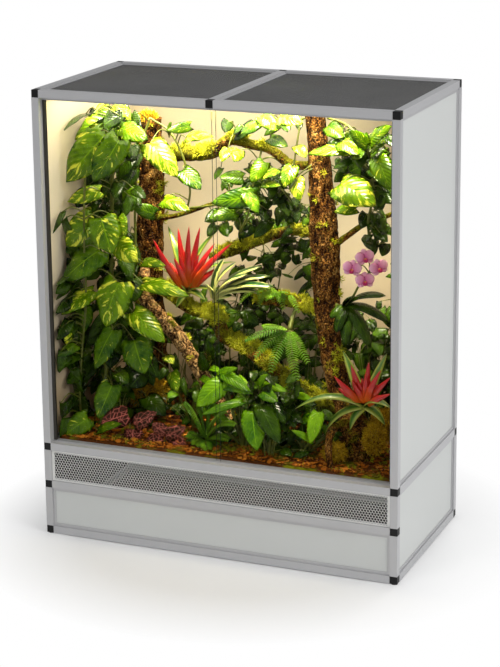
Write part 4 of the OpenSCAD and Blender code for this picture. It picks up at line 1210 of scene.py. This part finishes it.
# Smaller leaves at random over the clumps in the middle of the view, one in three lit and the rest darker, as
# painted shade
over_px, over_py = (194, 302), (366, 438)
left_to_px, middle_to_px = 212, 256
for n in range(60):
    px, py = grower.uniform(*over_px), grower.uniform(*over_py)
    clump = "left" if px < left_to_px else ("middle" if px < middle_to_px else "right")
    tip_px = (px + grower.normal(0, 13), py + grower.uniform(5, 20))
    heap = bright_leaves if n % 3 == 0 else shaded_leaves
    width, depth = grower.uniform(18, 34), grower.uniform(-120, -60)
    rooted(heap, clump, (px, py), tip_px, width, depth, grower.uniform(0, 0.8), 0.2)
bright_leaves.build("arrowhead_plants", arrowhead, "green_leaf", ["ground_plants"])


# ---- Backdrop plants ---------------------------------------------------------
# Thin leafy canes rooted along the back wall, and low leaves round the clumps and over the rear of the bed,
# all darker as painted shade, which close the gaps between the plants in front.
back_leaves, back_canes = Heap(), []
# Each cane's place across the cabinet, its lean and its top, in metres
canes_at = [(-0.20, 0.02, 0.54), (-0.12, -0.02, 0.66), (-0.04, 0.02, 0.84), (0.03, -0.03, 0.88),
            (0.10, 0.02, 0.84), (0.27, 0.03, 0.56), (0.34, -0.02, 0.62), (0.41, 0.01, 0.76)]
for x, lean, top in canes_at:
    foot = np.array([x, 0.17, bed_top(x, 0.17) - 0.004])
    stem = [foot, np.array([x + lean, 0.185, (top + 0.26) / 2]), np.array([x - lean, 0.20, top])]
    stalk(ground_stems, stem, [0.0025, 0.002, 0.0015])
    back_canes.append(centre_line(stem))
for n in range(600):
    cane = back_canes[n % len(back_canes)]
    root = cane[grower.integers(2, len(cane))]
    aside, ahead_by = grower.normal(0, 0.03), 0.006 + abs(grower.normal(0, 0.035))
    base = root + (aside, -ahead_by, grower.uniform(-0.02, 0.025))
    end = base + (grower.normal(0, 0.025), grower.uniform(-0.03, -0.008), grower.uniform(-0.045, 0.0))
    base, end = within(base), within(end)
    petiole(ground_stems, root, base, 0.001, 0.1)
    width = grower.uniform(0.016, 0.034)
    leaf(back_leaves, base, end, width, (0.1, -0.7, 0.7), grower.uniform(0, 0.8), rows=8, cols=5)
for n in range(110):
    foot = clumps[list(clumps)[n % 5]]
    base = within(np.array([foot[0] + grower.normal(0, 0.055), foot[1] + abs(grower.normal(0, 0.05)),
                            bed_low[2] + grower.uniform(0.03, 0.17)]))
    end = within(base + np.array([grower.normal(0, 0.028), -0.02, grower.uniform(-0.045, -0.005)]))
    petiole(ground_stems, foot + (0, 0, -0.004), base, 0.0013, 0.1)
    leaf(shaded_leaves, base, end, grower.uniform(0.014, 0.03), (0.1, -0.6, 0.8), grower.uniform(0, 0.7))
for _ in range(180):
    base = within(np.array([grower.uniform(-0.40, 0.43), grower.uniform(0.04, 0.21),
                            bed_low[2] + 0.03 + 0.30 * grower.uniform() ** 1.6]))
    end = base + (grower.normal(0, 0.03), grower.uniform(-0.04, -0.01), grower.uniform(-0.05, 0.02))
    foot = within((base[0] + grower.normal(0, 0.035), base[1] + 0.01, 0))
    foot[2] = bed_top(base[0], base[1]) - 0.004
    petiole(ground_stems, foot, base, 0.0011, 0.16)
    width = grower.uniform(0.020, 0.042)
    leaf(shaded_leaves, base, within(end), width, (0.1, -0.6, 0.8), grower.uniform(0, 0.9))
shaded_leaves.build("shaded_plants", dark_and_shaded_green, "green_leaf")
back_leaves.build("backdrop_plants", dark_and_shaded_green, "green_leaf")


# ---- Striped plant -----------------------------------------------------------
# A tuft of arching strap leaves with cream edges, set in the crook of the mossy branch.
striped = Finish("striped_leaf")
off_rib = abs(striped.marks()[1])
wander = striped.noise(60, 3, 0.6)
striped_tone = striped.blend((off_rib + wander * 0.5 - 0.72) * 9, rgb(26, 66, 20), rgb(196, 198, 110))
striped.set(Base_Color=striped_tone, Roughness=0.32, Coat_Weight=0.2)
striped.set(Normal=striped.bump(off_rib, 0.001, 0.5))
striped_leaves = Heap()
striped_form = {"heart": 0.0, "round_base": 0.9, "point": 0.5, "cup": 0.3, "ripple": 0.01}
# The pixels of the tips, and the foot's pixel and depth in millimetres
striped_foot = (214, 300, 20)
striped_tips = [(275, 287), (256, 291), (262, 266), (243, 286), (236, 262),
                (224, 258), (206, 284), (232, 296), (270, 276), (248, 274)]
for n, (px, py) in enumerate(striped_tips):
    tip = spot_at(px, py, -10 + 14 * (n % 3))
    leaf(striped_leaves, spot_at(*striped_foot), tip, 0.034, (0, -0.3, 1), 0.1 * n, 0.3, **striped_form)
striped_leaves.build("striped_plant", striped, "green_leaf")


# ---- Nerve plants ------------------------------------------------------------
# Small creeping plants along the front of the bed, whose dark leaves have nets of
# pink veins.
nerve = Finish("nerve_leaf")
along, aside, kind = nerve.marks()
net = nerve.cells(nerve.point(along * 5.5, aside * 2.6, kind * 20), 1.0)
veined = ((0.045 - net) * 30).maths("MAXIMUM", (0.05 - abs(aside)) * 20)
between = nerve.blend(kind, rgb(28, 30, 4), rgb(60, 22, 10))
nerve.set(Base_Color=nerve.blend(veined, between, rgb(224, 122, 106)), Roughness=0.45)
nerve.set(Specular_IOR_Level=0.2, Normal=nerve.bump(net, 0.002, 0.5))
nerve_leaves = Heap()
# Base and tip in the view, width in millimetres and seed
nerves_seen = [((128, 414), (100, 424), 58.8, 0.8), ((134, 425), (157, 412), 44.7, 0.5),
               ((133, 429), (133, 446), 54.1, 0.9), ((164, 440), (143, 451), 49.4, 0.7),
               ((166, 434), (152, 423), 37.6, 0.6), ((165, 437), (186, 427), 40.0, 0.4),
               ((169, 439), (188, 453), 49.4, 0.95), ((128, 440), (114, 446), 32.9, 0.1)]
for base_px, tip_px, width, seed in nerves_seen:
    base, tip = spot_at(*base_px, -160), spot_at(*tip_px, -172)
    foot = np.array([base[0] + 0.006, base[1] + 0.01, bed_top(base[0], base[1] + 0.01) - 0.003])
    petiole(ground_stems, foot, base, 0.0016, 0.1)
    leaf(nerve_leaves, base, tip, width / 1000, (0.1, -0.95, 0.35), seed, 0.12, 0.05)
nerve_leaves.build("nerve_plants", nerve, "green_leaf")
ground_stems.build("ground_stems", stem_tone, "green_leaf")
